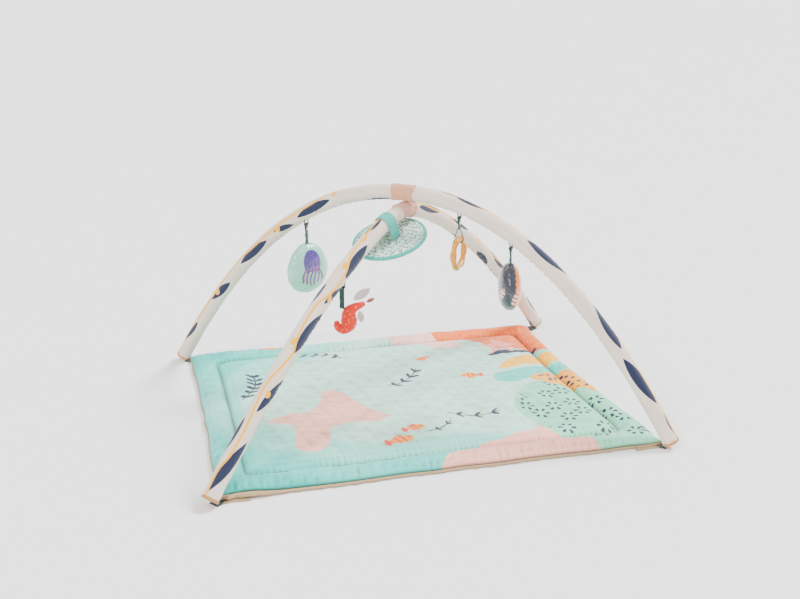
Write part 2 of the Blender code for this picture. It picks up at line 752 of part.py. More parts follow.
def build():
    clear_scene()
    arch_a = Arch("arch_a", CROWN_HEIGHT_A, CURVE_A, True)
    arch_b = Arch("arch_b", CROWN_HEIGHT_B, CURVE_B, False)
    build_mat()
    build_corner_tabs((arch_a, arch_b))
    build_arch(arch_a)
    build_arch(arch_b)

    mint = Hanger(arch_a, MINT_AT, MINT_TWIST)
    navy = Hanger(arch_a, NAVY_AT)
    ring = Hanger(arch_a, RING_AT)
    fish = Hanger(arch_b, FISH_AT, FISH_TWIST)
    hung = (
        ("mint", mint, MINT_STRAP),
        ("navy", navy, NAVY_STRAP),
        ("ring", ring, RING_STRAP),
        ("fish", fish, FISH_STRAP),
    )
    for name, hanger, length in hung:
        build_loop(name, hanger)
        build_strap(name, hanger, length)
        build_snap(name, hanger)
    build_rattle("mint", mint, MINT_SIZE, MINT_STRAP, ("mint_film", "mint_film"))
    build_rattle("navy", navy, NAVY_SIZE, NAVY_STRAP, ("orange_film", "navy_film"))
    build_ring_toy("ring", ring)
    build_fish("fish", fish)
    build_mirror(arch_b)


build()
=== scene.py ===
import json
from math import cos, hypot, pi, radians, sin, sqrt

import bmesh
import bpy
import numpy as np
from mathutils import Matrix, Vector


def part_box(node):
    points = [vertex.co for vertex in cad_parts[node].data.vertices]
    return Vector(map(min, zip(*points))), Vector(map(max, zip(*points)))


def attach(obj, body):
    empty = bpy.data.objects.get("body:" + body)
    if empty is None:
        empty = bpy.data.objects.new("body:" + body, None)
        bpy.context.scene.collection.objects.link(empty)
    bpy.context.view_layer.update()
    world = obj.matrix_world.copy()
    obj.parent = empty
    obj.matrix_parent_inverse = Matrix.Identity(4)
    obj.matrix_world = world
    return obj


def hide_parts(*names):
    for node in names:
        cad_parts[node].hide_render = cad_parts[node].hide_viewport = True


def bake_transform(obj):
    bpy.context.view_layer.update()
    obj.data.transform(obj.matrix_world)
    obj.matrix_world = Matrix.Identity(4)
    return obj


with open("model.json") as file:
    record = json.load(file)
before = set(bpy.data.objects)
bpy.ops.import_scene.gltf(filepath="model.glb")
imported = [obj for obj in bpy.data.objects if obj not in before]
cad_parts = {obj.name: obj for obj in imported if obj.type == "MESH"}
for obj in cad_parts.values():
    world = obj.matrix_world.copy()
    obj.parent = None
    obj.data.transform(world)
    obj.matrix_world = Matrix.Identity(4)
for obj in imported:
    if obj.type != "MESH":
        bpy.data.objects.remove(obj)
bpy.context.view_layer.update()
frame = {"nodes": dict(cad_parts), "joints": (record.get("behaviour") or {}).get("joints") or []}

# ---------------------------------------------------------------- sizes shared with the CAD part, in metres
MAT_HALF_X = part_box("mat_base_cover")[1].x
MAT_HALF_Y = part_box("mat_base_cover")[1].y
FOOT_OVERHANG = 0.014
FOOT_X = MAT_HALF_X + FOOT_OVERHANG
FOOT_Y = MAT_HALF_Y + FOOT_OVERHANG
HALF_SPAN = hypot(FOOT_X, FOOT_Y)
CURVE_A = 2.13
CURVE_B = 1.49
FOOT_HEIGHT_A = 0.01003
FOOT_HEIGHT_B = 0.01261
CROWN_HEIGHT_A = 0.4500
CROWN_HEIGHT_B = 0.4155
SLEEVE_RADIUS = 0.0155
SEAM_INSET = 0.055
CM = 0.01
MM = 0.001
UP = Vector((0, 0, 1))

# ---------------------------------------------------------------- camera
CAMERA_PLACE = (-0.52186, -1.94720, 0.91012)
CAMERA_TURN = 14.762
CAMERA_TILT = 18.778
CAMERA_LENS = 46.47


def make_camera():
    data = bpy.data.cameras.new("camera")
    data.lens = CAMERA_LENS
    data.sensor_width = 36
    camera = bpy.data.objects.new("camera", data)
    camera.location = CAMERA_PLACE
    camera.rotation_euler = (radians(90 - CAMERA_TILT), 0, radians(-CAMERA_TURN))
    bpy.context.scene.collection.objects.link(camera)
    bpy.context.scene.camera = camera


make_camera()


# ---------------------------------------------------------------- small tools
DEPTH = 2.0            # makes colours deeper, as the bright light washes them out


def linear(red, green, blue):
    """A colour as seen on a screen, 0 to 255, in the shader's linear numbers."""
    share = [c / 255 for c in (red, green, blue)]
    plain = [c / 12.92 if c < 0.04045 else ((c + 0.055) / 1.055) ** 2.4 for c in share]
    return tuple(c ** DEPTH for c in plain) + (1.0,)


def step(value, low, high):
    """0 below low, 1 above high and smooth between."""
    t = np.clip((value - low) / (high - low), 0, 1)
    return t * t * (3 - 2 * t)


def ripples(x, y, wavelength, seed, waves=7, spread=0.35, heading=None, fan=pi):
    """Soft irregular waves from about -1 to 1 over a plane, the same on each run."""
    random = np.random.default_rng(seed)
    total = np.zeros(np.broadcast(x, y).shape)
    for _ in range(waves):
        turn = random.uniform(-fan, fan) / 2 + (0.0 if heading is None else heading)
        if heading is None:
            turn = random.uniform(0, 2 * pi)
        size = wavelength * random.uniform(1 - spread, 1 + spread)
        total = total + np.sin((x * cos(turn) + y * sin(turn)) * 2 * pi / size + random.uniform(0, 2 * pi))
    return total / sqrt(waves) / 1.2


def smooth_curve(points, closed=True, steps=8):
    """Catmull-Rom points through a few given ones."""
    p = np.array(points, float)
    n = len(p)
    found = []
    for i in range(n if closed else n - 1):
        if closed:
            a, b, c, d = p[i - 1], p[i], p[(i + 1) % n], p[(i + 2) % n]
        else:
            a, b, c, d = p[max(i - 1, 0)], p[i], p[i + 1], p[min(i + 2, n - 1)]
        for k in range(steps):
            t = k / steps
            found.append(0.5 * (2 * b + (c - a) * t + (2 * a - 5 * b + 4 * c - d) * t * t
                                + (3 * b - a - 3 * c + d) * t ** 3))
    if not closed:
        found.append(p[-1])
    return np.array(found)


def to_segments(x, y, line, closed):
    """Distance from each point of a plane to a line of points."""
    best = np.full(x.shape, 1e9)
    count = len(line) if closed else len(line) - 1
    for i in range(count):
        a, b = line[i], line[(i + 1) % len(line)]
        dx, dy = b - a
        t = np.clip(((x - a[0]) * dx + (y - a[1]) * dy) / max(dx * dx + dy * dy, 1e-12), 0, 1)
        best = np.minimum(best, np.hypot(x - a[0] - t * dx, y - a[1] - t * dy))
    return best


def to_outline(x, y, points, steps=8):
    """Signed distance to a smooth closed outline, below 0 inside."""
    line = smooth_curve(points, True, steps)
    inside = np.zeros(x.shape, bool)
    for i in range(len(line)):
        a, b = line[i], line[(i + 1) % len(line)]
        crosses = (a[1] > y) != (b[1] > y)
        rise = b[1] - a[1] if abs(b[1] - a[1]) > 1e-12 else 1e-12
        inside ^= crosses & (x < (b[0] - a[0]) * (y - a[1]) / rise + a[0])
    return np.where(inside, -1, 1) * to_segments(x, y, line, True)


def to_lens(x, y, start, end, half_width):
    """Signed distance to a leaf between two points, below 0 inside."""
    ax, ay = start
    bx, by = end
    length = hypot(bx - ax, by - ay)
    ux, uy = (bx - ax) / length, (by - ay) / length
    radius = (length * length / 4 + half_width * half_width) / (2 * half_width)
    offset = radius - half_width
    along = (x - (ax + bx) / 2) * ux + (y - (ay + by) / 2) * uy
    side = -(x - (ax + bx) / 2) * uy + (y - (ay + by) / 2) * ux
    return np.maximum(np.hypot(along, side - offset), np.hypot(along, side + offset)) - radius


def mesh_object(name, vertices, faces):
    data = bpy.data.meshes.new(name)
    data.from_pydata([tuple(v) for v in vertices], [], faces)
    data.update()
    data.shade_smooth()
    piece = bpy.data.objects.new(name, data)
    bpy.context.scene.collection.objects.link(piece)
    return piece


def attribute(piece, name, values, kind="FLOAT"):
    """Stores one number or one vector per vertex for the shader."""
    made = piece.data.attributes.new(name, kind, "POINT")
    key = "value" if kind == "FLOAT" else "vector"
    made.data.foreach_set(key, np.asarray(values, np.float32).ravel())


def rings_object(name, rings, around=True, along=False, ends=True):
    """A surface through rings of points, array (rings, points, 3), closed at its ends if asked."""
    rings = np.asarray(rings, float)
    n, m = rings.shape[:2]
    vertices = list(rings.reshape(-1, 3))
    faces = []
    for i in range(n if along else n - 1):
        j = (i + 1) % n
        for k in range(m if around else m - 1):
            q = (k + 1) % m
            faces.append((i * m + k, i * m + q, j * m + q, j * m + k))
    if ends and not along:
        for i, flip in ((0, True), (n - 1, False)):
            hub = len(vertices)
            vertices.append(rings[i].mean(0))
            for k in range(m):
                q = (k + 1) % m
                faces.append((i * m + q, i * m + k, hub) if flip else (i * m + k, i * m + q, hub))
    piece = mesh_object(name, vertices, faces)
    piece["hubs"] = 2 if ends and not along else 0
    return piece


def outward(piece):
    """Turns a closed mesh so that its faces point out."""
    mesh = bmesh.new()
    mesh.from_mesh(piece.data)
    bmesh.ops.recalc_face_normals(mesh, faces=mesh.faces)
    if mesh.calc_volume(signed=True) < 0:
        bmesh.ops.reverse_faces(mesh, faces=mesh.faces)
    mesh.to_mesh(piece.data)
    mesh.free()
    return piece


def with_hubs(piece, values):
    """Vertex values of a ring surface with those of its two end points added."""
    values = np.asarray(values, float)
    if not piece.get("hubs"):
        return values.reshape(-1, *values.shape[2:])
    flat = values.reshape(-1, *values.shape[2:])
    return np.concatenate([flat, values[0].mean(0)[None], values[-1].mean(0)[None]])


# ---------------------------------------------------------------- shader tools

class Look:
    """One node material, with short ways to add nodes."""

    def __init__(self, name, roughness=0.8, **uniform):
        self.material = bpy.data.materials.new(name)
        self.material.use_nodes = True
        self.tree = self.material.node_tree
        self.surface = self.tree.nodes["Principled BSDF"]
        self.surface.inputs["Roughness"].default_value = roughness
        for socket, value in uniform.items():
            self.surface.inputs[socket.replace("_", " ").title().replace("Ior", "IOR")].default_value = value

    def add(self, kind, **settings):
        node = self.tree.nodes.new("ShaderNode" + kind)
        for key, value in settings.items():
            setattr(node, key, value)
        return node

    def put(self, value, socket):
        if isinstance(value, bpy.types.NodeSocket):
            self.tree.links.new(value, socket)
        elif value is not None:
            short = socket.type == "VECTOR" and len(value) == 4
            socket.default_value = value[:3] if short else value

    def math(self, operation, a, b=None, c=None, clamp=False):
        node = self.add("Math", operation=operation, use_clamp=clamp)
        for value, socket in zip((a, b, c), node.inputs):
            self.put(value, socket)
        return node.outputs[0]

    def vector(self, operation, a, b=None, c=None, scale=None):
        node = self.add("VectorMath", operation=operation)
        for value, socket in zip((a, b, c), node.inputs):
            self.put(value, socket)
        if scale is not None:
            self.put(scale, node.inputs["Scale"])
        return node.outputs["Value" if operation in ("LENGTH", "DOT_PRODUCT", "DISTANCE") else "Vector"]

    def place(self):
        return self.add("TexCoord").outputs["Object"]

    def read(self, name):
        return self.add("Attribute", attribute_name=name).outputs["Fac"]

    def read_vector(self, name):
        return self.add("Attribute", attribute_name=name).outputs["Vector"]

    def noise(self, scale, detail=3.0, roughness=0.55, place=None, distortion=0.0):
        node = self.add("TexNoise")
        self.put(self.place() if place is None else place, node.inputs["Vector"])
        node.inputs["Scale"].default_value = scale
        node.inputs["Detail"].default_value = detail
        node.inputs["Roughness"].default_value = roughness
        node.inputs["Distortion"].default_value = distortion
        return node.outputs["Fac"]

    def inside(self, distance, soft=0.0003):
        """1 where a signed distance is below 0, with a narrow soft edge."""
        return self.math("MULTIPLY_ADD", distance, -0.5 / soft, 0.5, clamp=True)

    def mix(self, factor, a, b, kind="MIX"):
        node = self.add("Mix", data_type="RGBA", blend_type=kind)
        self.put(factor, node.inputs["Factor"])
        self.put(a, node.inputs[6])
        self.put(b, node.inputs[7])
        return node.outputs[2]

    def vary(self, colour, amount, scale, place=None, detail=4.0):
        """The colour a little lighter and darker in irregular patches."""
        spot = self.noise(scale, detail, place=place)
        gain = self.math("MULTIPLY_ADD", spot, 2 * amount, 1 - amount)
        return self.vector("SCALE", colour, scale=gain)

    def bump(self, height, distance, strength=1.0, normal=None):
        node = self.add("Bump")
        node.inputs["Strength"].default_value = strength
        node.inputs["Distance"].default_value = distance
        self.put(height, node.inputs["Height"])
        if normal is not None:
            self.put(normal, node.inputs["Normal"])
        return node.outputs["Normal"]

    def xyz(self, vector):
        node = self.add("SeparateXYZ")
        self.put(vector, node.inputs[0])
        return node.outputs

    def threads(self, u, v, pitch):
        """Height of a plain weave over two coordinates in metres: 0 between threads, 1 on them."""
        a = self.math("SINE", self.math("MULTIPLY", u, 2 * pi / pitch))
        b = self.math("SINE", self.math("MULTIPLY", v, 2 * pi / pitch))
        return self.math("MULTIPLY_ADD", self.math("MULTIPLY", a, b), 0.5, 0.5)

    def finish(self, colour, normal=None, roughness=None):
        self.put(colour, self.surface.inputs["Base Color"])
        self.put(normal, self.surface.inputs["Normal"])
        self.put(roughness, self.surface.inputs["Roughness"])
        return self.material


def dress(piece, material):
    piece.data.materials.clear()
    piece.data.materials.append(material)


# ---------------------------------------------------------------- colours
TEAL = linear(84, 214, 206)
AQUA = linear(138, 226, 218)
PALE_AQUA = linear(184, 236, 226)
MINT = linear(214, 240, 230)
GREEN_MINT = linear(184, 234, 212)
CORAL_PINK = linear(250, 212, 200)
NAVY = linear(66, 92, 128)
YELLOW = linear(255, 216, 30)
ORANGE = linear(250, 166, 84)
RED_ORANGE = linear(240, 104, 52)
CREAM = linear(246, 240, 234)
BEIGE = linear(216, 198, 172)
TAN = linear(218, 178, 136)
GREEN = linear(20, 118, 110)
IVORY = linear(236, 224, 196)


# ---------------------------------------------------------------- the arches' centre lines

class Arch:
    """Centre line and directions of one arch. Turns run from its top (0) towards the front (90)."""

    def __init__(self, name, foot, crown, exponent, back_left):
        self.name = name
        self.foot, self.crown, self.exponent = foot, crown, exponent
        self.along = Vector((FOOT_X, -FOOT_Y if back_left else FOOT_Y, 0)).normalized()
        self.across = Vector((-self.along.y, self.along.x, 0))
        u = np.linspace(-1, 1, 2001)
        line = np.outer(u * HALF_SPAN, np.array(self.along))
        line[:, 2] = foot + (crown - foot) * (1 - np.abs(u) ** exponent)
        self.u = u
        self.line = line
        self.s = np.concatenate([[0], np.cumsum(np.linalg.norm(np.diff(line, axis=0), axis=1))])
        self.length = self.s[-1]

    def point(self, u):
        rise = (self.crown - self.foot) * (1 - abs(u) ** self.exponent)
        return self.along * (u * HALF_SPAN) + UP * (self.foot + rise)

    def frames(self, s):
        """Centres, tangents and outward normals at lengths from the left foot."""
        s = np.atleast_1d(s)
        centre = np.stack([np.interp(s, self.s, self.line[:, k]) for k in range(3)], -1)
        ahead = np.stack([np.interp(s + 0.004, self.s, self.line[:, k]) for k in range(3)], -1)
        behind = np.stack([np.interp(s - 0.004, self.s, self.line[:, k]) for k in range(3)], -1)
        tangent = ahead - behind
        tangent /= np.linalg.norm(tangent, axis=1)[:, None]
        out = np.cross(tangent, np.array(self.across))
        return centre, tangent, out / np.linalg.norm(out, axis=1)[:, None]

    def tube(self, s, turns, radius):
        """Points round the arch: lengths s (n), turns (m) and radius (n, m) or a number."""
        centre, _, out = self.frames(s)
        front = -np.array(self.across)
        ray = out[:, None] * np.cos(turns)[None, :, None] + front * np.sin(turns)[None, :, None]
        radius = np.broadcast_to(radius, (len(centre), len(turns)))
        return centre[:, None] + ray * radius[..., None]

    def at(self, u):
        return float(np.interp(u, self.u, self.s))


ARCH_A = Arch("arch_a", FOOT_HEIGHT_A, CROWN_HEIGHT_A, CURVE_A, True)
ARCH_B = Arch("arch_b", FOOT_HEIGHT_B, CROWN_HEIGHT_B, CURVE_B, False)

# ---------------------------------------------------------------- sleeves
SLEEVE_STEP = 0.0030
SLEEVE_SIDES = 44
# How far along (metres) and round (degrees) the print's second copy lies, which shows from the back
PRINT_REPEATS = {"arch_a": (0.045, 222.0), "arch_b": (0.045, 166.0)}

# Leaves as length in cm and turn in degrees of both tips, and half width in mm
LEAVES_A = (
    (4.0, 20, 11.2, 78, 9), (18.2, 66, 25.3, 114, 9), (30.6, 80, 40.0, 99, 9.5), (42.4, 78, 47.8, 128, 6.5),
    (49.2, 96, 58.6, 78, 9.5), (60.5, -40, 68.0, -70, 9), (80.5, -26, 86.5, -6, 7), (85.5, 14, 92.5, -8, 8),
    (101.3, 26, 111.6, -10, 12), (118.6, -10, 128.6, 36, 12), (130.0, 66, 141.0, 22, 12),
    (142.6, 2, 149.0, -12, 9),
)
VINE_A = (
    (0, 40), (6, 20), (12, 62), (18, 58), (24, 50), (30, 44), (36, 58), (43, 62), (49, 62), (55, 46),
    (62, -6),
    (70, -40), (76, -30), (80, -14), (85, -22), (91, 0), (97, -6), (104, -34), (112, -18), (118, -32),
    (124, -20),
    (131, -2), (139, 0), (148, 6), (150, 4),
)
BUDS_A = ((20.9, 78), (43.6, 88), (59.5, 40), (93.5, -22), (115.9, -12), (134.0, -30), (146.0, -22))
LEAVES_B = (
    (1.2, 4, 11.8, 96, 9.5), (8.2, -42, 15.6, -8, 6), (16.8, 44, 25.2, 124, 8), (29.4, 70, 39.2, 100, 11),
    (38.6, -44, 44.6, -8, 6), (40.4, 60, 46.4, 132, 6.5), (47.2, 92, 56.0, 62, 11), (57.6, -12, 62.8, 6, 7),
    (73.0, 70, 82.0, 40, 10), (84.5, 20, 93.5, 58, 10), (96.0, -20, 103.5, 10, 9), (104.8, 40, 113.4, 82, 10),
    (116.5, 30, 126.0, 60, 10), (128.0, 60, 138.0, 30, 9),
)
VINE_B = (
    (0, 0), (5, -4), (8.5, 28), (13.4, 34), (17.4, 22), (22, 8), (26, 42), (29.3, 62), (31.4, 42), (35, 24),
    (39.4, 22), (43.2, 64), (46.5, 72), (48.8, 58), (51.3, 24), (54, 8), (57.3, 8), (61, -12), (66, -14),
    (72, 20),
    (79, 52), (86, 30), (93, 6), (100, 36), (107, 66), (114, 40), (121, 12), (128, 34), (135, 50), (141, 30),
)
BUDS_B = ((20.6, 58), (31.3, 24), (42.0, 84), (49.2, 28), (56.5, 18), (70.0, 34), (86.0, 60), (98.6, 60),
    (120.0, 34))


def around(turn, centre):
    """Distance round the sleeve from a turn, in metres, the short way."""
    return (np.mod(turn - centre + pi, 2 * pi) - pi) * SLEEVE_RADIUS


def sleeve_print(s, turn, leaves, vine, buds, repeat):
    """Signed distances to the sleeve's navy leaves and to its yellow vine with buds."""
    to_leaf = np.full(s.shape, 1.0)
    to_vine = np.full(s.shape, 1.0)
    places = np.array(vine, float)
    for along, round_it in ((0.0, 0.0), repeat):
        for a, turn_a, b, turn_b, half in leaves:
            middle = radians((turn_a + turn_b) / 2 + round_it)
            half_turn = radians(turn_b - turn_a) / 2 * SLEEVE_RADIUS
            flat = around(turn, middle)
            lens = to_lens(s, flat, (a * CM + along, -half_turn), (b * CM + along, half_turn), half * MM)
            to_leaf = np.minimum(to_leaf, lens)
        turns = smooth_curve(places, False, 6)
        centre = np.radians(np.interp(s - along, turns[:, 0] * CM, turns[:, 1]) + round_it)
        slope = np.gradient(np.radians(turns[:, 1]) * SLEEVE_RADIUS, turns[:, 0] * CM)
        lean = np.interp(s - along, turns[:, 0] * CM, slope)
        to_vine = np.minimum(to_vine, np.abs(around(turn, centre)) / np.sqrt(1 + lean ** 2) - 2.3 * MM)
        for a, turn_a in buds:
            x, y = s - a * CM - along, around(turn, radians(turn_a + round_it))
            bud = np.hypot(x / 1.35, y) - 4.8 * MM
            tip = np.hypot(x - 5.4 * MM, y + 2.6 * MM) - 3.0 * MM
            to_vine = np.minimum(to_vine, np.minimum(bud, tip))
    return to_leaf, to_vine


def sleeve_look():
    look = Look("sleeve_print", 0.85, sheen_weight=0.25, sheen_roughness=0.5)
    place = look.read_vector("unrolled")
    s, flat, _ = look.xyz(place)
    twill = look.math("SINE", look.math("MULTIPLY", look.math("ADD", s, flat), 2 * pi / 0.0016))
    ribs = look.math("SINE", look.math("MULTIPLY", flat, 2 * pi / 0.0022))
    weave = look.math("MULTIPLY_ADD", ribs, 0.35, look.math("MULTIPLY", twill, 0.5))
    cloth = look.vary(CREAM, 0.035, 60, place)
    ground = look.mix(look.noise(9, 2), cloth, linear(236, 222, 210))
    leaf_tone = look.mix(look.math("MULTIPLY_ADD", weave, 0.4, 0.5, clamp=True), NAVY, linear(58, 84, 126))
    printed = look.mix(look.inside(look.read("leaf")), ground, leaf_tone)
    yellow = look.vary(YELLOW, 0.05, 90, place)
    printed = look.mix(look.inside(look.read("vine")), printed, yellow)
    fluff = look.noise(420, 3, place=place)
    normal = look.bump(look.math("MULTIPLY_ADD", weave, 0.5, fluff), 0.00045, 0.7)
    rough = look.math("MULTIPLY_ADD", look.noise(30), 0.1, 0.8)
    return look.finish(printed, normal, rough)


def make_sleeve(arch, leaves, vine, buds, material):
    count = int(arch.length / SLEEVE_STEP)
    margin = 0.0012
    s = np.linspace(margin, arch.length - margin, count)
    turns = np.linspace(0, 2 * pi, SLEEVE_SIDES, endpoint=False)
    S, T = np.meshgrid(s, turns, indexing="ij")
    under = step(-np.cos(T), -0.1, 0.9)
    bend = step(np.minimum(S, arch.length - S), 0.02, 0.25)
    seed = 3 if arch is ARCH_A else 5
    creases = ripples(S, S * 0 + T * 0.0035, 0.017, seed, 9, 0.5, heading=0.0, fan=0.5)
    broad = ripples(S, T * SLEEVE_RADIUS, 0.085, seed + 1, 7, 0.4)
    clear = step(np.abs(S - arch.length / 2), 0.035, 0.08)
    radius = SLEEVE_RADIUS - 0.0002 + 0.00030 * broad + creases * clear * (0.00014 + 0.00075 * under * bend)
    for foot in (0.0, arch.length):
        near = 1 - step(np.abs(S - foot), 0.012, 0.05)
        gather = ripples(S * 0.35, T * SLEEVE_RADIUS, 0.013, seed + 2, 7, 0.4)
        radius = radius + near * gather * 0.0007
    seam = np.abs(around(T, pi * 0.94)) / MM
    radius = radius + 0.0006 * np.exp(-(seam - 2.2) ** 2 / 1.6) - 0.0006 * np.exp(-seam ** 2 / 1.2)
    points = arch.tube(s, turns, radius)
    points[..., 2] = np.maximum(points[..., 2], 0.0021)
    piece = outward(rings_object(arch.name + "_cover", points))
    to_leaf, to_vine = sleeve_print(S, T, leaves, vine, buds, PRINT_REPEATS[arch.name])
    attribute(piece, "leaf", with_hubs(piece, to_leaf))
    attribute(piece, "vine", with_hubs(piece, to_vine))
    # The place on the cloth, with the turn folded at the underside so that it has no jump
    flat = np.abs(around(T, 0.0))
    attribute(piece, "unrolled", with_hubs(piece, np.stack([S, flat, 0 * S], -1)), "FLOAT_VECTOR")
    dress(piece, material)
    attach(piece, arch.name)
    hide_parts(arch.name + "_sleeve")
    return piece


SLEEVE_MATERIAL = sleeve_look()
make_sleeve(ARCH_A, LEAVES_A, VINE_A, BUDS_A, SLEEVE_MATERIAL)
make_sleeve(ARCH_B, LEAVES_B, VINE_B, BUDS_B, SLEEVE_MATERIAL)


# ---------------------------------------------------------------- mat
EDGE_FINE, EDGE_STEP = 0.009, 0.0013
BORDER_STEP = 0.0023
MIDDLE_STEP = 0.0036
RIM_HEIGHT = 0.0068            # where the printed cover is sewn to the beige underside
SIDE_BOW = 0.006               # how far each side pulls in between its corners
RIGHT_BOW = 0.026
FRONT_ROLL = 0.008              # how far the front edge curls up beside its left corner


def spaced(half):
    """Grid lines from edge to edge, closest at the edges."""
    lines = [0.0]
    while lines[-1] < half:
        d = lines[-1]
        lines.append(d + (EDGE_STEP if d < EDGE_FINE else BORDER_STEP if d < 0.075 else MIDDLE_STEP))
    lines = np.array(lines[:-1])
    lines = lines * half / lines[-1]
    return np.concatenate([lines - half, (half - lines)[::-1][1:]])


def mat_outline_warp(x, y):
    """Sides pulled in between pointed corners, the right side and its back corner most."""
    a, b = x / MAT_HALF_X, y / MAT_HALF_Y
    bow_x = SIDE_BOW * (1 - b ** 2)
    right = RIGHT_BOW * np.cos(np.clip((b - 0.42) / 1.42, -1, 1) * pi / 2) ** 1.5
    pull = np.where(a > 0, bow_x * 0.4 + right, bow_x)
    shift_x = -np.sign(a) * np.abs(a) ** 3 * pull
    shift_y = -np.sign(b) * np.abs(b) ** 3 * SIDE_BOW * (1 - a ** 2) * np.where(b > 0, 0.5, 0.7)
    wave = 0.0012 * np.sin(y / 0.021 + 1.3 * np.sin(y / 0.05)) * np.abs(a) ** 12
    wave_y = 0.0012 * np.sin(x / 0.024 + 1.1 * np.sin(x / 0.06)) * np.abs(b) ** 12
    return x + shift_x + wave, y + shift_y + wave_y


def corner_share(x, y, reach=0.05):
    """1 at a corner of the mat, 0 further than reach from it."""
    d = np.hypot(MAT_HALF_X - np.abs(x), MAT_HALF_Y - np.abs(y))
    return 1 - step(d, 0.0, reach)


PROFILE_IN = np.array([0.0, 0.0015, 0.004, 0.008, 0.016, 0.026, 0.036, 0.045, 0.051, 0.055, 0.059, 0.066,
    0.080, 0.11, 0.16])
PROFILE_UP = np.array([0.0070, 0.0104, 0.0140, 0.0176, 0.0212, 0.0224, 0.0210, 0.0170, 0.0112, 0.0070,
    0.0108, 0.0162, 0.0206, 0.0232, 0.0236])


def mat_height(x, y):
    """Height of the printed cover over the undeformed rectangle."""
    to_x, to_y = MAT_HALF_X - np.abs(x), MAT_HALF_Y - np.abs(y)
    edge = np.minimum(to_x, to_y)
    soft = 0.010
    blended = -soft * np.log(np.exp(-np.minimum(to_x, 0.3) / soft) + np.exp(-np.minimum(to_y, 0.3) / soft))
    inner = np.where(edge > 0.03, np.maximum(blended, 0.03), edge)
    height = np.interp(inner, PROFILE_IN, PROFILE_UP)
    along = np.where(to_x < to_y, y, x)
    seam = np.exp(-np.abs(inner - SEAM_INSET) / 0.013) * step(np.abs(inner - SEAM_INSET), 0, 0.004)
    puckers = ripples(along, inner * 0.25, 0.0105, 11, 9, 0.45, heading=0.0, fan=0.6)
    rim_puckers = ripples(along, inner * 0.2, 0.017, 12, 9, 0.45, heading=0.0, fan=0.6)
    near_rim = np.exp(-inner / 0.014) * step(inner, 0, 0.004)
    strength = 0.65 + 0.35 * ripples(x, y, 0.11, 18)
    height = height + 0.0029 * seam * puckers * strength + 0.0016 * near_rim * rim_puckers
    middle = step(inner, 0.062, 0.12)
    height = height + middle * 0.0024 * ripples(x, y, 0.17, 13, 9, 0.4)
    height = height + middle * 0.0008 * ripples(x, y, 0.032, 14, 11, 0.5)
    channel = step(inner, 0.004, 0.012) * (1 - step(inner, 0.044, 0.054))
    height = height + channel * (0.0011 * ripples(x, y, 0.040, 15, 9, 0.5) + 0.0014 * ripples(x, y, 0.14, 16))
    folds = ripples(x, y, 0.055, 17, 5, 0.3) * corner_share(x, y, 0.22) * middle
    height = height + 0.0024 * folds
    knot = corner_share(x, y, 0.045)
    fan = np.sin(np.arctan2(to_y + 0.004, to_x + 0.004) * 9 + 0.7)
    height = height * (1 - 0.42 * knot) + knot * step(edge, 0.001, 0.01) * 0.0009 * fan
    return np.maximum(height, RIM_HEIGHT + np.minimum(edge, 0.002) * 0.2)


def corner_lift(x, y):
    """The corners rise a little where their tabs pull at them."""
    back_left = np.where((x < 0) & (y > 0), 1.5, 1.0)
    roll = np.exp(-((x + MAT_HALF_X - 0.055) / 0.045) ** 2) * np.exp(-(y + MAT_HALF_Y) / 0.035)
    return 0.0026 * back_left * corner_share(x, y, 0.05) + FRONT_ROLL * roll


STAR = (
    (-30.5, -8.0), (-27.8, -9.8), (-25.5, -12.0), (-26.2, -17.0), (-26.6, -21.5), (-24.6, -23.6),
    (-21.2, -22.6),
    (-19.5, -18.5), (-18.5, -14.5), (-14.0, -13.0), (-9.0, -13.5), (-6.0, -11.5), (-8.5, -8.0), (-11.0, -3.0),
    (-13.5, 2.5), (-17.0, 3.0), (-18.5, -2.0), (-21.5, -6.0), (-26.0, -6.0),
)
SEA_BED = (
    (-1.5, -37), (-0.5, -32), (3.0, -29.8), (5.5, -29.2), (8.0, -27.2), (12.5, -26.4), (16.0, -25.2),
    (19.0, -25.0),
    (21.6, -23.8), (24.6, -26.6), (27.0, -29.8), (31.0, -32.6), (36, -37), (17, -39),
)
SPECKLED_PATCH = (
    (19.5, -16.0), (21.0, -22.0), (24.0, -27.0), (29.0, -31.5), (33.0, -38), (50, -38), (50, -14),
    (42.0, -12.0),
    (37.5, -6.5), (33.0, -3.2), (27.5, -3.6), (22.0, -9.0),
)
SUN_PATCH = (
    (29.0, -1.0), (33.6, 1.6), (38.0, 1.8), (50, 0.8), (50, -13), (42.5, -12.5), (38.6, -8.0), (34.0, -5.4),
)
TEAL_STRIPE = (
    (22, 3.2), (26, 4.2), (31, 5.0), (36, 5.6), (50, 5.4), (50, 0.4), (38, 1.5), (33, 1.3), (28, -1.2),
    (24, -2.0), (21, 0),
)
SUN_STRIPE = (
    (24, 6.2), (27, 9.4), (31, 11.4), (36, 12.4), (50, 12.6), (50, 7.2), (38, 6.8), (31, 6.6), (27, 5.6),
)
ORANGE_REEF = (
    (12.5, 37), (14.0, 31), (17.5, 27.2), (22.5, 24.8), (27.0, 19.5), (32.5, 16.4), (38.0, 15.0), (50, 14.6),
    (50, 37), (30, 39),
)
PALE_CORAL = (
    (2.5, 37), (3.5, 31.5), (6.0, 27.5), (10.0, 26.0), (13.0, 22.4), (17.5, 21.0), (20.5, 22.4), (19.0, 26.0),
    (15.5, 29.0), (14.0, 37),
)
PINK_STAR = (
    (24.2, 21.0), (27.4, 20.4), (28.6, 24.0), (30.2, 20.6), (34.4, 19.6), (31.0, 17.6), (31.4, 14.4),
    (28.6, 16.2),
    (25.4, 14.8), (26.6, 18.0),
)
NAVY_RIBBON = ((24.0, 14.2), (28.0, 15.8), (33.0, 15.2), (38.5, 16.6), (38.0, 15.4), (33.0, 13.8),
    (28.0, 13.8))


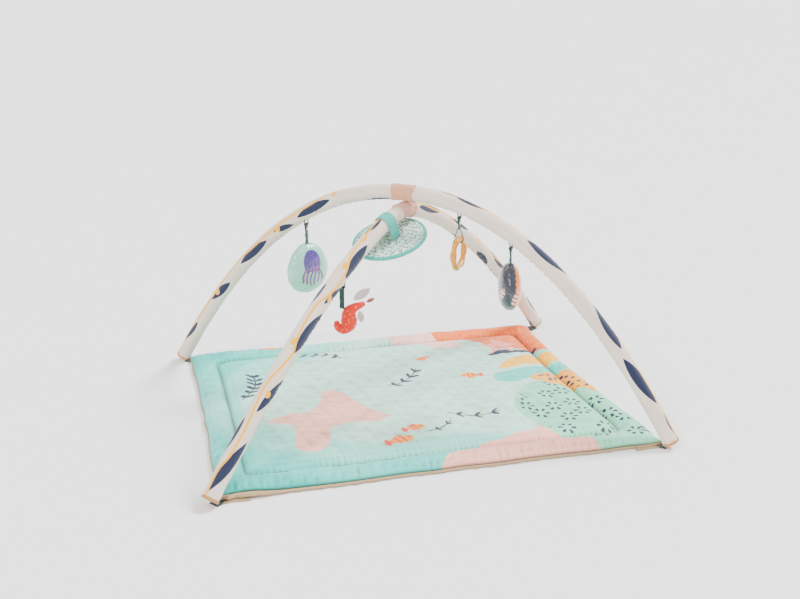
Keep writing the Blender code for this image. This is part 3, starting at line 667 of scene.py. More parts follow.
def water_tone(x, y):
    """0 in the pale middle, rising outwards to 1 at the corners, in broad wavy layers."""
    turn = np.arctan2(y, x - 0.03)
    wobble = 0.055 * np.sin(3 * turn + 0.6) + 0.04 * np.sin(5 * turn + 2.1) + 0.03 * np.sin(2 * turn - 0.5)
    depth = np.where(y > 0, 0.43, 0.37)
    reach = (np.abs((x - 0.05) / 0.50) ** 2.6 + np.abs(y / depth) ** 2.6) ** (1 / 2.6)
    return reach + wobble


def mat_look():
    look = Look("mat_print", 0.62, sheen_weight=0.3, sheen_roughness=0.4)
    place = look.place()
    tone = look.math("ADD", look.read("water"), look.math("MULTIPLY_ADD", look.noise(26, 2), 0.02, -0.01))
    layers = [look.math("MULTIPLY_ADD", tone, 16.0, -16.0 * level, clamp=True) for level in (0.66, 0.83, 1.0)]
    colour = look.mix(layers[0], MINT, PALE_AQUA)
    colour = look.mix(layers[1], colour, AQUA)
    colour = look.mix(layers[2], colour, TEAL)
    colour = look.vector("SCALE", colour, scale=look.math("MULTIPLY_ADD", look.noise(7, 4), 0.16, 0.92))
    prints = (
        ("star", CORAL_PINK), ("sea_bed", CORAL_PINK), ("speckled", GREEN_MINT), ("teal_stripe", AQUA),
        ("sun_stripe", YELLOW), ("sun", linear(252, 206, 80)), ("reef", ORANGE),
        ("coral", linear(252, 224, 214)),
        ("navy_ribbon", NAVY), ("pink_star", linear(250, 196, 186)),
    )
    for name, shade in prints:
        colour = look.mix(look.inside(look.read(name), 0.0006), colour, look.vary(shade, 0.05, 38))
    colour = add_dashes(look, colour)
    colour = add_scribbles(look, colour)
    for sprig in SPRIGS:
        colour = add_sprig(look, colour, *sprig)
    for fish in FISHES:
        colour = add_small_fish(look, colour, *fish)
    x, y, _ = look.xyz(place)
    weave = look.threads(x, y, 0.0009)
    soft = look.noise(70, 5)
    fine = look.noise(260, 3)
    height = look.math("MULTIPLY_ADD", weave, 0.08, look.math("MULTIPLY_ADD", fine, 0.25, soft))
    normal = look.bump(height, 0.0016, 0.55)
    stitched = look.inside(look.read("stitch"), 0.0003)
    colour = look.mix(look.math("MULTIPLY", stitched, 0.45), colour, linear(60, 150, 144))
    # Painted shade and light: the colour darkens in the puckers' hollows and brightens a little on their
    # ridges
    relief_shading = look.math("MULTIPLY_ADD", look.read("hollow"), -280.0, 1.0)
    relief_shading = look.math("MINIMUM", look.math("MAXIMUM", relief_shading, 0.52), 1.10)
    colour = look.vector("SCALE", colour, scale=relief_shading)
    rough = look.math("MULTIPLY_ADD", look.noise(20), 0.14, 0.52)
    return look.finish(colour, normal, rough)


def flat_place(look, cx, cy, turn):
    """Coordinates in cm round a spot on the mat, turned by an angle."""
    x, y, _ = look.xyz(look.place())
    x = look.math("MULTIPLY_ADD", x, 100.0, -cx)
    y = look.math("MULTIPLY_ADD", y, 100.0, -cy)
    c, s = cos(radians(turn)), sin(radians(turn))
    u = look.math("MULTIPLY_ADD", y, s, look.math("MULTIPLY", x, c))
    v = look.math("MULTIPLY_ADD", x, -s, look.math("MULTIPLY", y, c))
    return u, v


def oval(look, u, v, cu, cv, half_u, half_v, lean=0.0):
    """Signed distance, roughly in cm, to an oval in local coordinates."""
    du, dv = look.math("SUBTRACT", u, cu), look.math("SUBTRACT", v, cv)
    c, s = cos(radians(lean)), sin(radians(lean))
    a = look.math("MULTIPLY_ADD", dv, s / half_u, look.math("MULTIPLY", du, c / half_u))
    b = look.math("MULTIPLY_ADD", du, -s / half_v, look.math("MULTIPLY", dv, c / half_v))
    r = look.math("SQRT", look.math("MULTIPLY_ADD", a, a, look.math("MULTIPLY", b, b)))
    return look.math("MULTIPLY_ADD", r, min(half_u, half_v), -min(half_u, half_v))


def add_dashes(look, colour):
    """Navy dashes set in little wheels over the speckled and the sun patch."""
    x, y, _ = look.xyz(look.place())
    dots = look.add("TexVoronoi", voronoi_dimensions="2D", feature="F1")
    dots.inputs["Scale"].default_value = 19.0
    dots.inputs["Randomness"].default_value = 0.55
    look.put(look.place(), dots.inputs["Vector"])
    centre = look.xyz(dots.outputs["Position"])
    du = look.math("SUBTRACT", x, centre[0])
    dv = look.math("SUBTRACT", y, centre[1])
    far = look.math("MULTIPLY", dots.outputs["Distance"], 1 / 19.0)
    angle = look.math("ARCTAN2", dv, du)
    spokes = look.math("COSINE", look.math("MULTIPLY_ADD", look.noise(15, 0), 3.0,
        look.math("MULTIPLY", angle, 6.0)))
    width = look.math("MULTIPLY", look.math("SUBTRACT", spokes, 0.12), 10.0, clamp=True)
    band = look.math("MULTIPLY", look.math("SUBTRACT", far, 0.0080), 2500.0, clamp=True)
    end = look.math("MULTIPLY", look.math("SUBTRACT", 0.0180, far), 2500.0, clamp=True)
    mask = look.math("MULTIPLY", look.math("MULTIPLY", width, band), end)
    area = look.inside(look.math("ADD", look.read("speckled"), 0.010), 0.004)
    area = look.math("MULTIPLY", area, look.inside(look.math("MULTIPLY", look.read("sun"), -1.0), 0.0006))
    wheels = look.math("MULTIPLY", mask, area)
    colour = look.mix(wheels, colour, NAVY)
    spots = look.add("TexVoronoi", voronoi_dimensions="2D", feature="F1")
    spots.inputs["Scale"].default_value = 52.0
    look.put(look.place(), spots.inputs["Vector"])
    dot = look.math("MULTIPLY", look.math("SUBTRACT", 0.24, spots.outputs["Distance"]), 30.0, clamp=True)
    inner = look.inside(look.math("ADD", look.read("sun"), 0.006), 0.002)
    return look.mix(look.math("MULTIPLY", dot, inner), colour, NAVY)


def add_scribbles(look, colour):
    """Wavy yellow strokes on the orange reef."""
    wave = look.add("TexWave", wave_type="RINGS", rings_direction="SPHERICAL")
    wave.inputs["Scale"].default_value = 9.0
    wave.inputs["Distortion"].default_value = 7.0
    wave.inputs["Detail"].default_value = 1.0
    wave.inputs["Detail Scale"].default_value = 1.4
    look.put(look.vector("SUBTRACT", look.place(), (0.26, 0.25, 0.0)), wave.inputs["Vector"])
    stroke = look.math("MULTIPLY", look.math("SUBTRACT", wave.outputs["Fac"], 0.80), 12.0, clamp=True)
    inner = look.inside(look.math("ADD", look.read("reef"), 0.012), 0.001)
    clear = look.math("MULTIPLY", look.inside(look.math("SUBTRACT", 0.006, look.read("pink_star")), 0.001),
        inner)
    return look.mix(look.math("MULTIPLY", stroke, clear), colour, linear(255, 178, 60))


# Sprigs: place in cm, turn, size and number of leaf pairs. Fishes: place, turn and size.
SPRIGS = (
    (-30.5, 9.5, 74, 1.2, 6), (10.5, -16.0, -8, 1.0, 3), (2.6, -19.6, 28, 0.55, 2),
    (-13.0, 24.0, 150, 0.9, 4),
    (2.0, 5.0, 40, 1.0, 4),
)
FISHES = ((-6.4, -22.6, 12, 1.2), (-2.6, -18.4, 16, 1.0), (16.0, 4.0, 170, 1.0), (-24.0, 31.6, 4, 0.9),
    (8.0, 15.0, 200, 0.8))


def add_sprig(look, colour, cx, cy, turn, size, pairs):
    """A navy stem, bent like a bow, with slim leaves in pairs."""
    u, v = flat_place(look, cx, cy, turn)
    length = 5.4 * size
    bow = look.math("MULTIPLY", look.math("MULTIPLY", u, u), 0.045 / size)
    lifted = look.math("SUBTRACT", v, bow)
    beyond = look.math("MAXIMUM", look.math("SUBTRACT", look.math("ABSOLUTE", u), length), 0.0)
    stem = look.math("SUBTRACT", look.math("ADD", look.math("ABSOLUTE", lifted), beyond), 0.17)
    found = stem
    for i in range(pairs):
        spot = -length + 2 * length * (i + 0.5) / pairs
        for side in (1, -1):
            reach = (1.15 - 0.12 * abs(i - pairs / 2)) * size
            lean = side * 48
            cu = spot + reach * cos(radians(lean)) * 0.9
            cv = reach * sin(radians(lean)) * 0.95
            leaf = oval(look, u, lifted, cu, cv, reach, 0.30 * size + 0.10, lean)
            found = look.math("MINIMUM", found, leaf)
    return look.mix(look.inside(found, 0.05), colour, linear(52, 78, 122))


def add_small_fish(look, colour, cx, cy, turn, size):
    """A small yellow fish with orange stripes, seen from its side."""
    u, v = flat_place(look, cx, cy, turn)
    body = oval(look, u, v, 0.0, 0.0, 2.0 * size, 1.15 * size)
    tail = oval(look, u, v, -2.5 * size, 0.0, 0.5 * size, 1.0 * size)
    fin = oval(look, u, v, -0.2 * size, 1.1 * size, 0.8 * size, 0.45 * size, 20)
    orange = look.math("MINIMUM", tail, fin)
    colour = look.mix(look.inside(orange, 0.05), colour, linear(244, 140, 70))
    colour = look.mix(look.inside(body, 0.05), colour, linear(255, 196, 84))
    stripes = look.math("SINE", look.math("MULTIPLY_ADD", u, 5.6 / size, look.math("MULTIPLY", v, 1.2)))
    bars = look.math("MULTIPLY", look.math("SUBTRACT", stripes, 0.35), 8.0, clamp=True)
    back_half = look.math("MULTIPLY", look.math("SUBTRACT", 0.55 * size, u), 20.0, clamp=True)
    bars = look.math("MULTIPLY", look.math("MULTIPLY", bars, back_half), look.inside(body, 0.05))
    colour = look.mix(bars, colour, linear(244, 128, 60))
    dot = oval(look, u, v, 1.25 * size, 0.2 * size, 0.2 * size, 0.2 * size)
    return look.mix(look.inside(dot, 0.05), colour, NAVY)


def concavity(height):
    """How far each point lies below its surroundings, in metres."""
    level = height.copy()
    for _ in range(12):
        wide = np.pad(level, 1, mode="edge")
        level = (level * 2 + wide[:-2, 1:-1] + wide[2:, 1:-1] + wide[1:-1, :-2] + wide[1:-1, 2:]) / 6
    return level - height


def make_mat():
    gx, gy = spaced(MAT_HALF_X), spaced(MAT_HALF_Y)
    X, Y = np.meshgrid(gx, gy, indexing="ij")
    Z = mat_height(X, Y) + corner_lift(X, Y)
    wx, wy = mat_outline_warp(X, Y)
    n, m = X.shape
    index = np.arange(n * m).reshape(n, m)
    vertices = np.stack([wx, wy, Z], -1).reshape(-1, 3)
    faces = np.stack([index[:-1, :-1], index[1:, :-1], index[1:, 1:], index[:-1, 1:]], -1)
    faces = faces.reshape(-1, 4).tolist()
    rim = list(index[:, 0]) + list(index[-1, 1:]) + list(index[-2::-1, -1]) + list(index[0, -2:0:-1])
    outer = vertices[rim]
    rows = [rim]
    made = [vertices]
    count = len(vertices)
    for inset, drop in ((0.0012, 0.0010), (0.0050, 0.0016)):
        ring = outer.copy()
        scale = 1 - inset / np.array([MAT_HALF_X, MAT_HALF_Y])
        ring[:, :2] *= scale
        ring[:, 2] -= drop
        made.append(ring)
        rows.append(list(range(count, count + len(ring))))
        count += len(ring)
    for upper, lower in zip(rows, rows[1:]):
        for i in range(len(rim)):
            j = (i + 1) % len(rim)
            faces.append([upper[j], upper[i], lower[i], lower[j]])
    # The hidden underside: a coarse floor on the same outline
    hub = count
    floor = made[-1].mean(0)
    floor[2] = 0.0040
    made.append(floor[None])
    for i in range(len(rim)):
        j = (i + 1) % len(rim)
        faces.append([rows[-1][j], rows[-1][i], hub])
    piece = outward(mesh_object("mat_quilt", np.concatenate(made), faces))
    total = len(piece.data.vertices)

    def stored(name, grid, fill):
        values = np.full(total, float(fill))
        values[:n * m] = grid.ravel()
        values[rows[1]] = grid.ravel()[rim]
        values[rows[2]] = grid.ravel()[rim]
        attribute(piece, name, values)

    stored("water", water_tone(X, Y), 0.5)
    shapes = (
        ("star", STAR), ("sea_bed", SEA_BED), ("speckled", SPECKLED_PATCH), ("sun", SUN_PATCH),
        ("teal_stripe", TEAL_STRIPE), ("sun_stripe", SUN_STRIPE), ("reef", ORANGE_REEF),
        ("coral", PALE_CORAL),
        ("pink_star", PINK_STAR), ("navy_ribbon", NAVY_RIBBON),
    )
    for name, outline in shapes:
        stored(name, to_outline(X / CM, Y / CM, outline) * CM, 1.0)
    to_x, to_y = MAT_HALF_X - np.abs(X), MAT_HALF_Y - np.abs(Y)
    line = np.abs(np.minimum(to_x, to_y) - SEAM_INSET) - 0.0011
    stored("stitch", line, 1.0)
    # Concavity of the quilted cover, read by the shader for painted shade in the hollows and painted light on
    # the ridges
    stored("hollow", concavity(Z), 0.0)
    dress(piece, mat_look())
    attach(piece, "mat")
    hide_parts("mat_top_cover", "mat_border_padding", "mat_centre_padding")
    return rim, X, Y


def beige_look():
    look = Look("mat_base", 0.88, sheen_weight=0.2, sheen_roughness=0.5)
    x, y, _ = look.xyz(look.place())
    weave = look.threads(x, y, 0.0011)
    colour = look.vary(BEIGE, 0.06, 45)
    colour = look.mix(look.math("MULTIPLY", weave, 0.12), colour, linear(176, 158, 132))
    height = look.math("MULTIPLY_ADD", weave, 0.3, look.noise(90, 4))
    return look.finish(colour, look.bump(height, 0.0012, 0.6),
        look.math("MULTIPLY_ADD", look.noise(30), 0.1, 0.83))


def make_underlay():
    """The beige underside: flat on the floor, rising in a soft puckered roll to the seam under the print."""
    gx, gy = spaced(MAT_HALF_X), spaced(MAT_HALF_Y)
    X, Y = np.meshgrid(gx, gy, indexing="ij")
    n, m = X.shape
    index = np.arange(n * m).reshape(n, m)
    rim = list(index[:, 0]) + list(index[-1, 1:]) + list(index[-2::-1, -1]) + list(index[0, -2:0:-1])
    x, y = X.ravel()[rim], Y.ravel()[rim]
    lift = corner_lift(x, y)
    corner = corner_share(x, y, 0.03)
    along = np.where(MAT_HALF_X - np.abs(x) < MAT_HALF_Y - np.abs(y), y, x)
    pucker = ripples(along, along * 0, 0.033, 21, 9, 0.5, heading=0.0, fan=0.3)
    bulge = (0.0032 + 0.0011 * pucker) * (1 - corner)
    front = np.where(y < -MAT_HALF_Y + 0.002, 1.0 + 1.4 * np.exp(-(x + MAT_HALF_X) / 0.16), 0.55)
    rings = []
    # (outward share of the bulge, height) from the seam down the outside, under and back up inside
    for out, height in ((0.15, 1.0), (0.75, 0.86), (1.0, 0.6), (0.85, 0.3), (0.3, 0.06), (-2.2, 0.0)):
        wx, wy = mat_outline_warp(x, y)
        push = out * bulge * front
        sx, sy = 1 + push / MAT_HALF_X, 1 + push / MAT_HALF_Y
        z = (RIM_HEIGHT - 0.0009 + lift) * height + lift * (1 - height) * 0.35
        z = np.maximum(z, 0.0 + corner * 0.0021)
        rings.append(np.stack([wx * sx, wy * sy, z], -1))
    inner = []
    for inset, height in ((0.0030, 0.0022), (0.0016, 0.0048)):
        wx, wy = mat_outline_warp(x, y)
        z = np.maximum(height + lift * 0.9, corner * 0.0036)
        inner.append(np.stack([wx * (1 - inset / MAT_HALF_X), wy * (1 - inset / MAT_HALF_Y), z], -1))
    hub_low = np.array([[0, 0, 0.0]])
    hub_high = np.array([[0, 0, 0.0018]])
    count = len(rim)
    vertices = np.concatenate(rings + inner + [hub_low, hub_high])
    faces = []
    order = list(range(len(rings)))
    for a, b in zip(order, order[1:]):
        for i in range(count):
            j = (i + 1) % count
            faces.append([a * count + j, a * count + i, b * count + i, b * count + j])
    last, low, high = len(rings) - 1, len(vertices) - 2, len(vertices) - 1
    flat, top = len(rings), len(rings) + 1
    for i in range(count):
        j = (i + 1) % count
        faces.append([last * count + j, last * count + i, low])
        faces.append([i, j, top * count + j, top * count + i])
        faces.append([top * count + i, top * count + j, flat * count + j, flat * count + i])
        faces.append([flat * count + i, flat * count + j, high])
    piece = outward(mesh_object("mat_underlay", vertices, faces))
    dress(piece, beige_look())
    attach(piece, "mat")
    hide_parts("mat_base_cover")


make_mat()
make_underlay()


# ---------------------------------------------------------------- places where toys hang
JOINTS = {joint["name"]: joint for joint in frame["joints"]}
MINT_TWIST = -22
NAVY_TWIST = 25
FISH_TWIST = 220
SIDE_STEPS = 48


class Hanger:
    """Where a toy hangs: its loop's bar, its directions and the top of the toy."""

    def __init__(self, name, arch, toy, twist=0.0):
        self.name, self.arch, self.toy = name, arch, toy
        self.body = name + "_hanger"
        self.pivot = Vector(JOINTS[name + "_strap_swing"]["pos_m"])
        self.top = Vector(JOINTS[name + "_sway"]["pos_m"])
        turn = Matrix.Rotation(radians(twist), 3, "Z")
        self.along, self.across = arch.along, arch.across
        self.facing, self.side = turn @ arch.along, turn @ arch.across


MINT = Hanger("mint", ARCH_A, "mint_rattle", MINT_TWIST)
NAVY_HANGER = Hanger("navy", ARCH_A, "navy_rattle", NAVY_TWIST)
RING = Hanger("ring", ARCH_A, "ring_teether")
FISH = Hanger("fish", ARCH_B, "fish_toy", FISH_TWIST)
HANGERS = (MINT, NAVY_HANGER, RING, FISH)


def array(vector):
    return np.array(tuple(vector), float)


def settle(piece, body, slot, *nodes):
    """Attaches a finished piece to its body, if one is given, and hides the CAD nodes that it replaces."""
    if body:
        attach(piece, body)
    if nodes:
        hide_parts(*nodes)
    return piece


def ribbon(name, path, origin, flat_a, flat_b, wide, width, thickness, edge=None):
    """A woven tape along a path in the plane of two directions, wide along the third."""
    path = np.asarray(path, float)
    ahead = np.gradient(path, axis=0)
    ahead /= np.linalg.norm(ahead, axis=1)[:, None]
    normal = np.stack([-ahead[:, 1], ahead[:, 0]], -1)
    rounds = []
    turns = np.linspace(0, 2 * pi, 24, endpoint=False)
    for i, (spot, out) in enumerate(zip(path, normal)):
        half = width[i] / 2 if hasattr(width, "__len__") else width / 2
        across = np.sign(np.cos(turns)) * np.abs(np.cos(turns)) ** 0.35 * half
        through = np.sign(np.sin(turns)) * np.abs(np.sin(turns)) ** 0.6 * thickness / 2
        bead = 1 + 0.18 * np.exp(-((np.abs(across) - half * 0.86) / (half * 0.1)) ** 2)
        sag = 0.0 if edge is None else edge(i / (len(path) - 1), across / half)
        flat = spot[None] + out[None] * (through * bead + sag)[:, None]
        rounds.append(array(origin) + flat[:, :1] * array(flat_a) + flat[:, 1:] * array(flat_b)
                      + across[:, None] * array(wide))
    return outward(rings_object(name, rounds))


def lathe(name, profile, centre, axis, around_a, around_b, sides=SIDE_STEPS, wobble=None):
    """A turned piece from (radius, height) pairs along an axis."""
    turns = np.linspace(0, 2 * pi, sides, endpoint=False)
    rounds = []
    for k, (radius, height) in enumerate(profile):
        r = radius * (1 + (0.0 if wobble is None else wobble(k, turns)))
        ray = np.cos(turns)[:, None] * array(around_a) + np.sin(turns)[:, None] * array(around_b)
        rounds.append(array(centre) + ray * np.broadcast_to(r, turns.shape)[:, None] + height * array(axis))
    return outward(rings_object(name, rounds))


# ---------------------------------------------------------------- small materials

def webbing_look(name, colour, light, pitch=0.0011, roughness=0.8):
    look = Look(name, roughness, sheen_weight=0.3, sheen_roughness=0.4)
    x, y, z = look.xyz(look.place())
    level = look.math("ADD", look.math("MULTIPLY", x, 0.7), look.math("MULTIPLY", y, 0.7))
    weave = look.threads(level, z, pitch)
    shade = look.mix(look.math("MULTIPLY", weave, 0.45), look.vary(colour, 0.12, 60), light)
    height = look.math("MULTIPLY_ADD", look.noise(700, 2), 0.3, weave)
    return look.finish(shade, look.bump(height, 0.0005, 0.8),
        look.math("MULTIPLY_ADD", weave, -0.12, roughness))


def plastic_look(name, colour, roughness=0.3, amount=0.03, **uniform):
    look = Look(name, roughness, coat_weight=0.25, coat_roughness=0.15, **uniform)
    grain = look.noise(900, 2)
    smudge = look.noise(120, 4)
    rough = look.math("MULTIPLY_ADD", smudge, 0.14, roughness - 0.06)
    return look.finish(look.vary(colour, amount, 150), look.bump(grain, 0.0001, 0.3), rough)


GREEN_TAPE = webbing_look("green_webbing", GREEN, linear(50, 144, 134))
SNAP_MATERIAL = plastic_look("snap", IVORY)
TAN_CLOTH = webbing_look("foot_cap", TAN, linear(234, 200, 160), 0.0013)
FLAP_CLOTH = beige_look()


# ---------------------------------------------------------------- feet

def make_foot(arch, left):
    """The tan tape sewn round the end of a sleeve, closed under the foot."""
    start = 0.0 if left else arch.length
    sign = 1 if left else -1
    turns = np.linspace(0, 2 * pi, SIDE_STEPS, endpoint=False)
    rounds = []
    profile = (
        (0.0157, 0.0056), (0.0162, 0.0052), (0.0163, 0.0044), (0.01615, 0.0030), (0.0163, 0.0016),
        (0.0160, 0.0004),
        (0.0150, 0.0), (0.0120, 0.0006), (0.0060, 0.0008),
    )
    for k, (radius, height) in enumerate(profile):
        crimp = 0.00022 * np.sin(turns * 13 + k * 0.5) + 0.00015 * np.sin(turns * 7 + 1.0)
        points = arch.tube(np.array([start + sign * height]), turns, (radius + crimp)[None])[0]
        points[:, 2] = np.maximum(points[:, 2], 0.00195)
        rounds.append(points)
    side = "left" if left else "right"
    piece = outward(rings_object(f"{arch.name}_{side}_foot_tape", rounds))
    dress(piece, TAN_CLOTH)
    settle(piece, arch.name, "foot_cap", f"{arch.name}_foot_cap_{side}")


def make_corner(name, arch, left):
    """A webbing tab under the foot and a folded beige flap beside it."""
    outward_way = arch.along * (-1 if left else 1)
    foot = arch.point(-1 if left else 1)
    path = [(t, 0.00085 + 0.00012 * sin(t * 400)) for t in np.linspace(-0.034, -0.008, 26)]
    origin = Vector((foot.x, foot.y, 0))
    tab = ribbon("tab_" + name, path, origin, outward_way, UP, arch.across, 0.022, 0.0014)
    dress(tab, GREEN_TAPE)
    settle(tab, "mat", "green_webbing", "corner_tab_" + name)
    way_x = -1 if foot.x > 0 else 1
    front = foot.y < 0
    if not front:
        return
    turns = np.linspace(0, 2 * pi, 64, endpoint=False)
    centre = Vector((foot.x + way_x * 0.047, foot.y + 0.0085, 0.0))
    rounds = []
    for radius, height in ((0.0, 0.0006), (0.55, 0.0005), (0.93, 0.0003), (1.0, 0.0014), (0.93, 0.0027),
            (0.6, 0.0031), (0.0, 0.0033)):
        r = max(radius, 0.02)
        x = 0.025 * r * np.cos(turns)
        y = 0.0058 * r * np.sin(turns) * (1 + 0.25 * np.cos(turns)) - 0.0030 * r * np.cos(turns * 2)
        z = height + 0.0004 * np.sin(turns * 5) * r * (height > 0.001)
        rounds.append(np.stack([centre.x + x * way_x, centre.y + y, z + 0 * x], -1))
    flap = outward(rings_object("flap_" + name, rounds))
    dress(flap, FLAP_CLOTH)
    settle(flap, "mat", "mat_base")


for arch in (ARCH_A, ARCH_B):
    make_foot(arch, True)
    make_foot(arch, False)
make_corner("back_left", ARCH_A, True)
make_corner("front_right", ARCH_A, False)
make_corner("front_left", ARCH_B, True)
make_corner("back_right", ARCH_B, False)


# ---------------------------------------------------------------- crown bands

def crown_look(name, colour, light):
    look = Look(name, 0.85, sheen_weight=0.3, sheen_roughness=0.5)
    s, _, _ = look.xyz(look.read_vector("unrolled"))
    rib = look.math("SINE", look.math("MULTIPLY", s, 2 * pi / 0.0013))
    shade = look.mix(look.math("MULTIPLY_ADD", rib, 0.2, 0.25, clamp=True), look.vary(colour, 0.08, 70),
        light)
    height = look.math("MULTIPLY_ADD", rib, 0.35, look.noise(160, 4))
    return look.finish(shade, look.bump(height, 0.0008, 0.6),
        look.math("MULTIPLY_ADD", look.noise(40), 0.1, 0.8))


def make_crown_band(arch, name, material, width, fold_turn):
    """A soft band round the sleeve with folded hems and a sewn lap."""
    middle = arch.at(0.0)
    s = np.linspace(-width / 2, width / 2, 34)
    turns = np.linspace(0, 2 * pi, 88, endpoint=False)
    S, T = np.meshgrid(s, turns, indexing="ij")
    edge = width / 2 - np.abs(S)
    radius = SLEEVE_RADIUS + 0.0009 + 0.0008 * (1 - step(edge, 0.0036, 0.0048))
    radius = radius + 0.0005 * ripples(S, T * SLEEVE_RADIUS, 0.016, 31, 8, 0.5)
    radius = radius + 0.00028 * ripples(S * 0.3, T * SLEEVE_RADIUS, 0.009, 32, 8, 0.4)
    lap = around(T, radians(fold_turn)) / MM
    radius = radius + 0.0010 * np.exp(-((lap - 1.5) / 2.4) ** 4) - 0.0005 * np.exp(-((lap + 2.6) / 0.7) ** 2)
    sway = 0.0016 * np.sin(T * 2 + 0.8) * np.sign(S) * step(np.abs(S), 0, width / 2)
    points = arch.tube(middle + s, turns, radius)
    shift = arch.tube(middle + s + 0.001, turns, radius) - points
    outer = points + shift * (sway / 0.001)[..., None]
    inner_radius = np.full_like(radius, SLEEVE_RADIUS + 0.0002)
    inner = arch.tube(middle + s, turns, inner_radius) + shift * (sway / 0.001)[..., None]
    rounds = np.concatenate([outer, inner[::-1]])
    piece = outward(rings_object(name + "_cloth", rounds, along=True, ends=False))
    place = np.stack([S, SLEEVE_RADIUS * T, 0 * S], -1)
    attribute(piece, "unrolled", np.concatenate([place, place[::-1]]).reshape(-1, 3), "FLOAT_VECTOR")
    dress(piece, material)
    settle(piece, arch.name, "crown_band", name)


make_crown_band(ARCH_A, "crown_band_a", crown_look("crown_cloth_a", linear(230, 192, 164),
    linear(242, 214, 192)), 0.046, 128)
make_crown_band(ARCH_B, "crown_band_b", crown_look("crown_cloth_b", linear(234, 196, 180),
    linear(244, 214, 204)), 0.044, 60)


# ---------------------------------------------------------------- hanging straps
LOOP_HALF_WIDTH = 0.0078
LOOP_CORD = 0.0013
LOOP_BEND = 0.0020
LOOP_DROP = 0.0080
EYE_RADIUS = 0.0025
STRAP_WIDTH = 0.0112
STRAP_THICKNESS = 0.0012


def round_cord(name, points, radius, sides=14, closed=False, twist=0.0):
    """A cord through points, of two strands if twisted."""
    p = np.asarray(points, float)
    if closed:
        ahead = np.roll(p, -1, 0) - np.roll(p, 1, 0)
    else:
        ahead = np.gradient(p, axis=0)
    ahead /= np.linalg.norm(ahead, axis=1)[:, None]
    span = p - p.mean(0)
    normal = np.linalg.svd(span)[2][-1]
    run = np.concatenate([[0], np.cumsum(np.linalg.norm(np.diff(p, axis=0), axis=1))])
    turns = np.linspace(0, 2 * pi, sides, endpoint=False)
    rounds = []
    for i, spot in enumerate(p):
        out = np.cross(ahead[i], normal)
        r = radius * (1 - (0.14 * np.cos(2 * turns + run[i] * twist) ** 2 if twist else 0.0))
        ray = np.cos(turns)[:, None] * normal + np.sin(turns)[:, None] * out
        rounds.append(spot + ray * np.broadcast_to(r, turns.shape)[:, None])
    return outward(rings_object(name, rounds, along=closed, ends=not closed))


def make_loop(hanger):
    """The stirrup sewn to the sleeve's underside."""
    lift = LOOP_HALF_WIDTH ** 2 / (2 * SLEEVE_RADIUS)
    leg = LOOP_DROP + lift + 0.0004
    flat = [(-LOOP_HALF_WIDTH, z) for z in np.linspace(leg, LOOP_BEND * 1.2, 8)]
    for turn in np.linspace(pi, 1.5 * pi, 8):
        flat.append((-LOOP_HALF_WIDTH + LOOP_BEND * (1 + cos(turn)), LOOP_BEND * (1 + sin(turn))))
    flat += [(x, 0.0) for x in np.linspace(-LOOP_HALF_WIDTH + LOOP_BEND * 1.2, 0, 6)]
    flat += [(-x, z) for x, z in reversed(flat[:-1])]
    points = [array(hanger.pivot + hanger.across * x + UP * z) for x, z in flat]
    piece = round_cord(hanger.name + "_stirrup", points, LOOP_CORD, twist=1500)
    dress(piece, GREEN_TAPE)
    settle(piece, hanger.arch.name, "green_webbing", hanger.name + "_loop")


def make_strap(hanger):
    """Webbing folded over the stirrup's bar, both layers running down into the toy's seam."""
    drop = (hanger.pivot - hanger.top).length
    low = -drop - 0.0035
    gap = STRAP_THICKNESS / 2 + 0.0001
    wavy = 0.0005
    down = np.linspace(low, -0.0052, 22)
    path = [(gap + wavy * sin(z * 420) * 0.6, z) for z in down]
    start = radians(-52)
    for turn in np.linspace(start, pi - start, 20):
        path.append((EYE_RADIUS * cos(turn), EYE_RADIUS * sin(turn)))
    tail = low if hanger is not RING else low + 0.004
    path += [(-gap + wavy * sin(z * 380 + 1.0), z) for z in down[::-1] if z >= tail]
    count = len(path)
    width = [STRAP_WIDTH * (1 - 0.10 * np.exp(-((i / count - 0.45) / 0.08) ** 2)) for i in range(count)]

    def curl(t, across):
        return 0.0004 * across ** 2 * sin(t * 9)

    piece = ribbon(hanger.name + "_webbing", path, hanger.pivot, hanger.along, UP, hanger.across, width,
                   STRAP_THICKNESS, curl)
    dress(piece, GREEN_TAPE)
    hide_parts(hanger.name + "_strap")
    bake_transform(piece)


def make_stud(hanger):
    low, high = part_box(hanger.name + "_snap")
    middle = (low + high) / 2
    face = hanger.along * (STRAP_THICKNESS + 0.0001 - (middle - hanger.pivot).dot(hanger.along))
    base = middle + face
    profile = (
        (0.0034, 0.0), (0.0036, 0.0003), (0.0036, 0.0008), (0.0033, 0.0013), (0.0026, 0.0016),
        (0.0022, 0.0014),
        (0.0014, 0.0013), (0.0006, 0.0013),
    )
    piece = lathe(hanger.name + "_stud", profile, base, hanger.along, hanger.across, UP, 36)
    dress(piece, SNAP_MATERIAL)
    settle(piece, hanger.body, "snap", hanger.name + "_snap")


for hanger in HANGERS:
    make_loop(hanger)
    make_strap(hanger)
    make_stud(hanger)


# ---------------------------------------------------------------- stuffed rattles
PILLOW_RINGS = 34
PILLOW_SIDES = 128


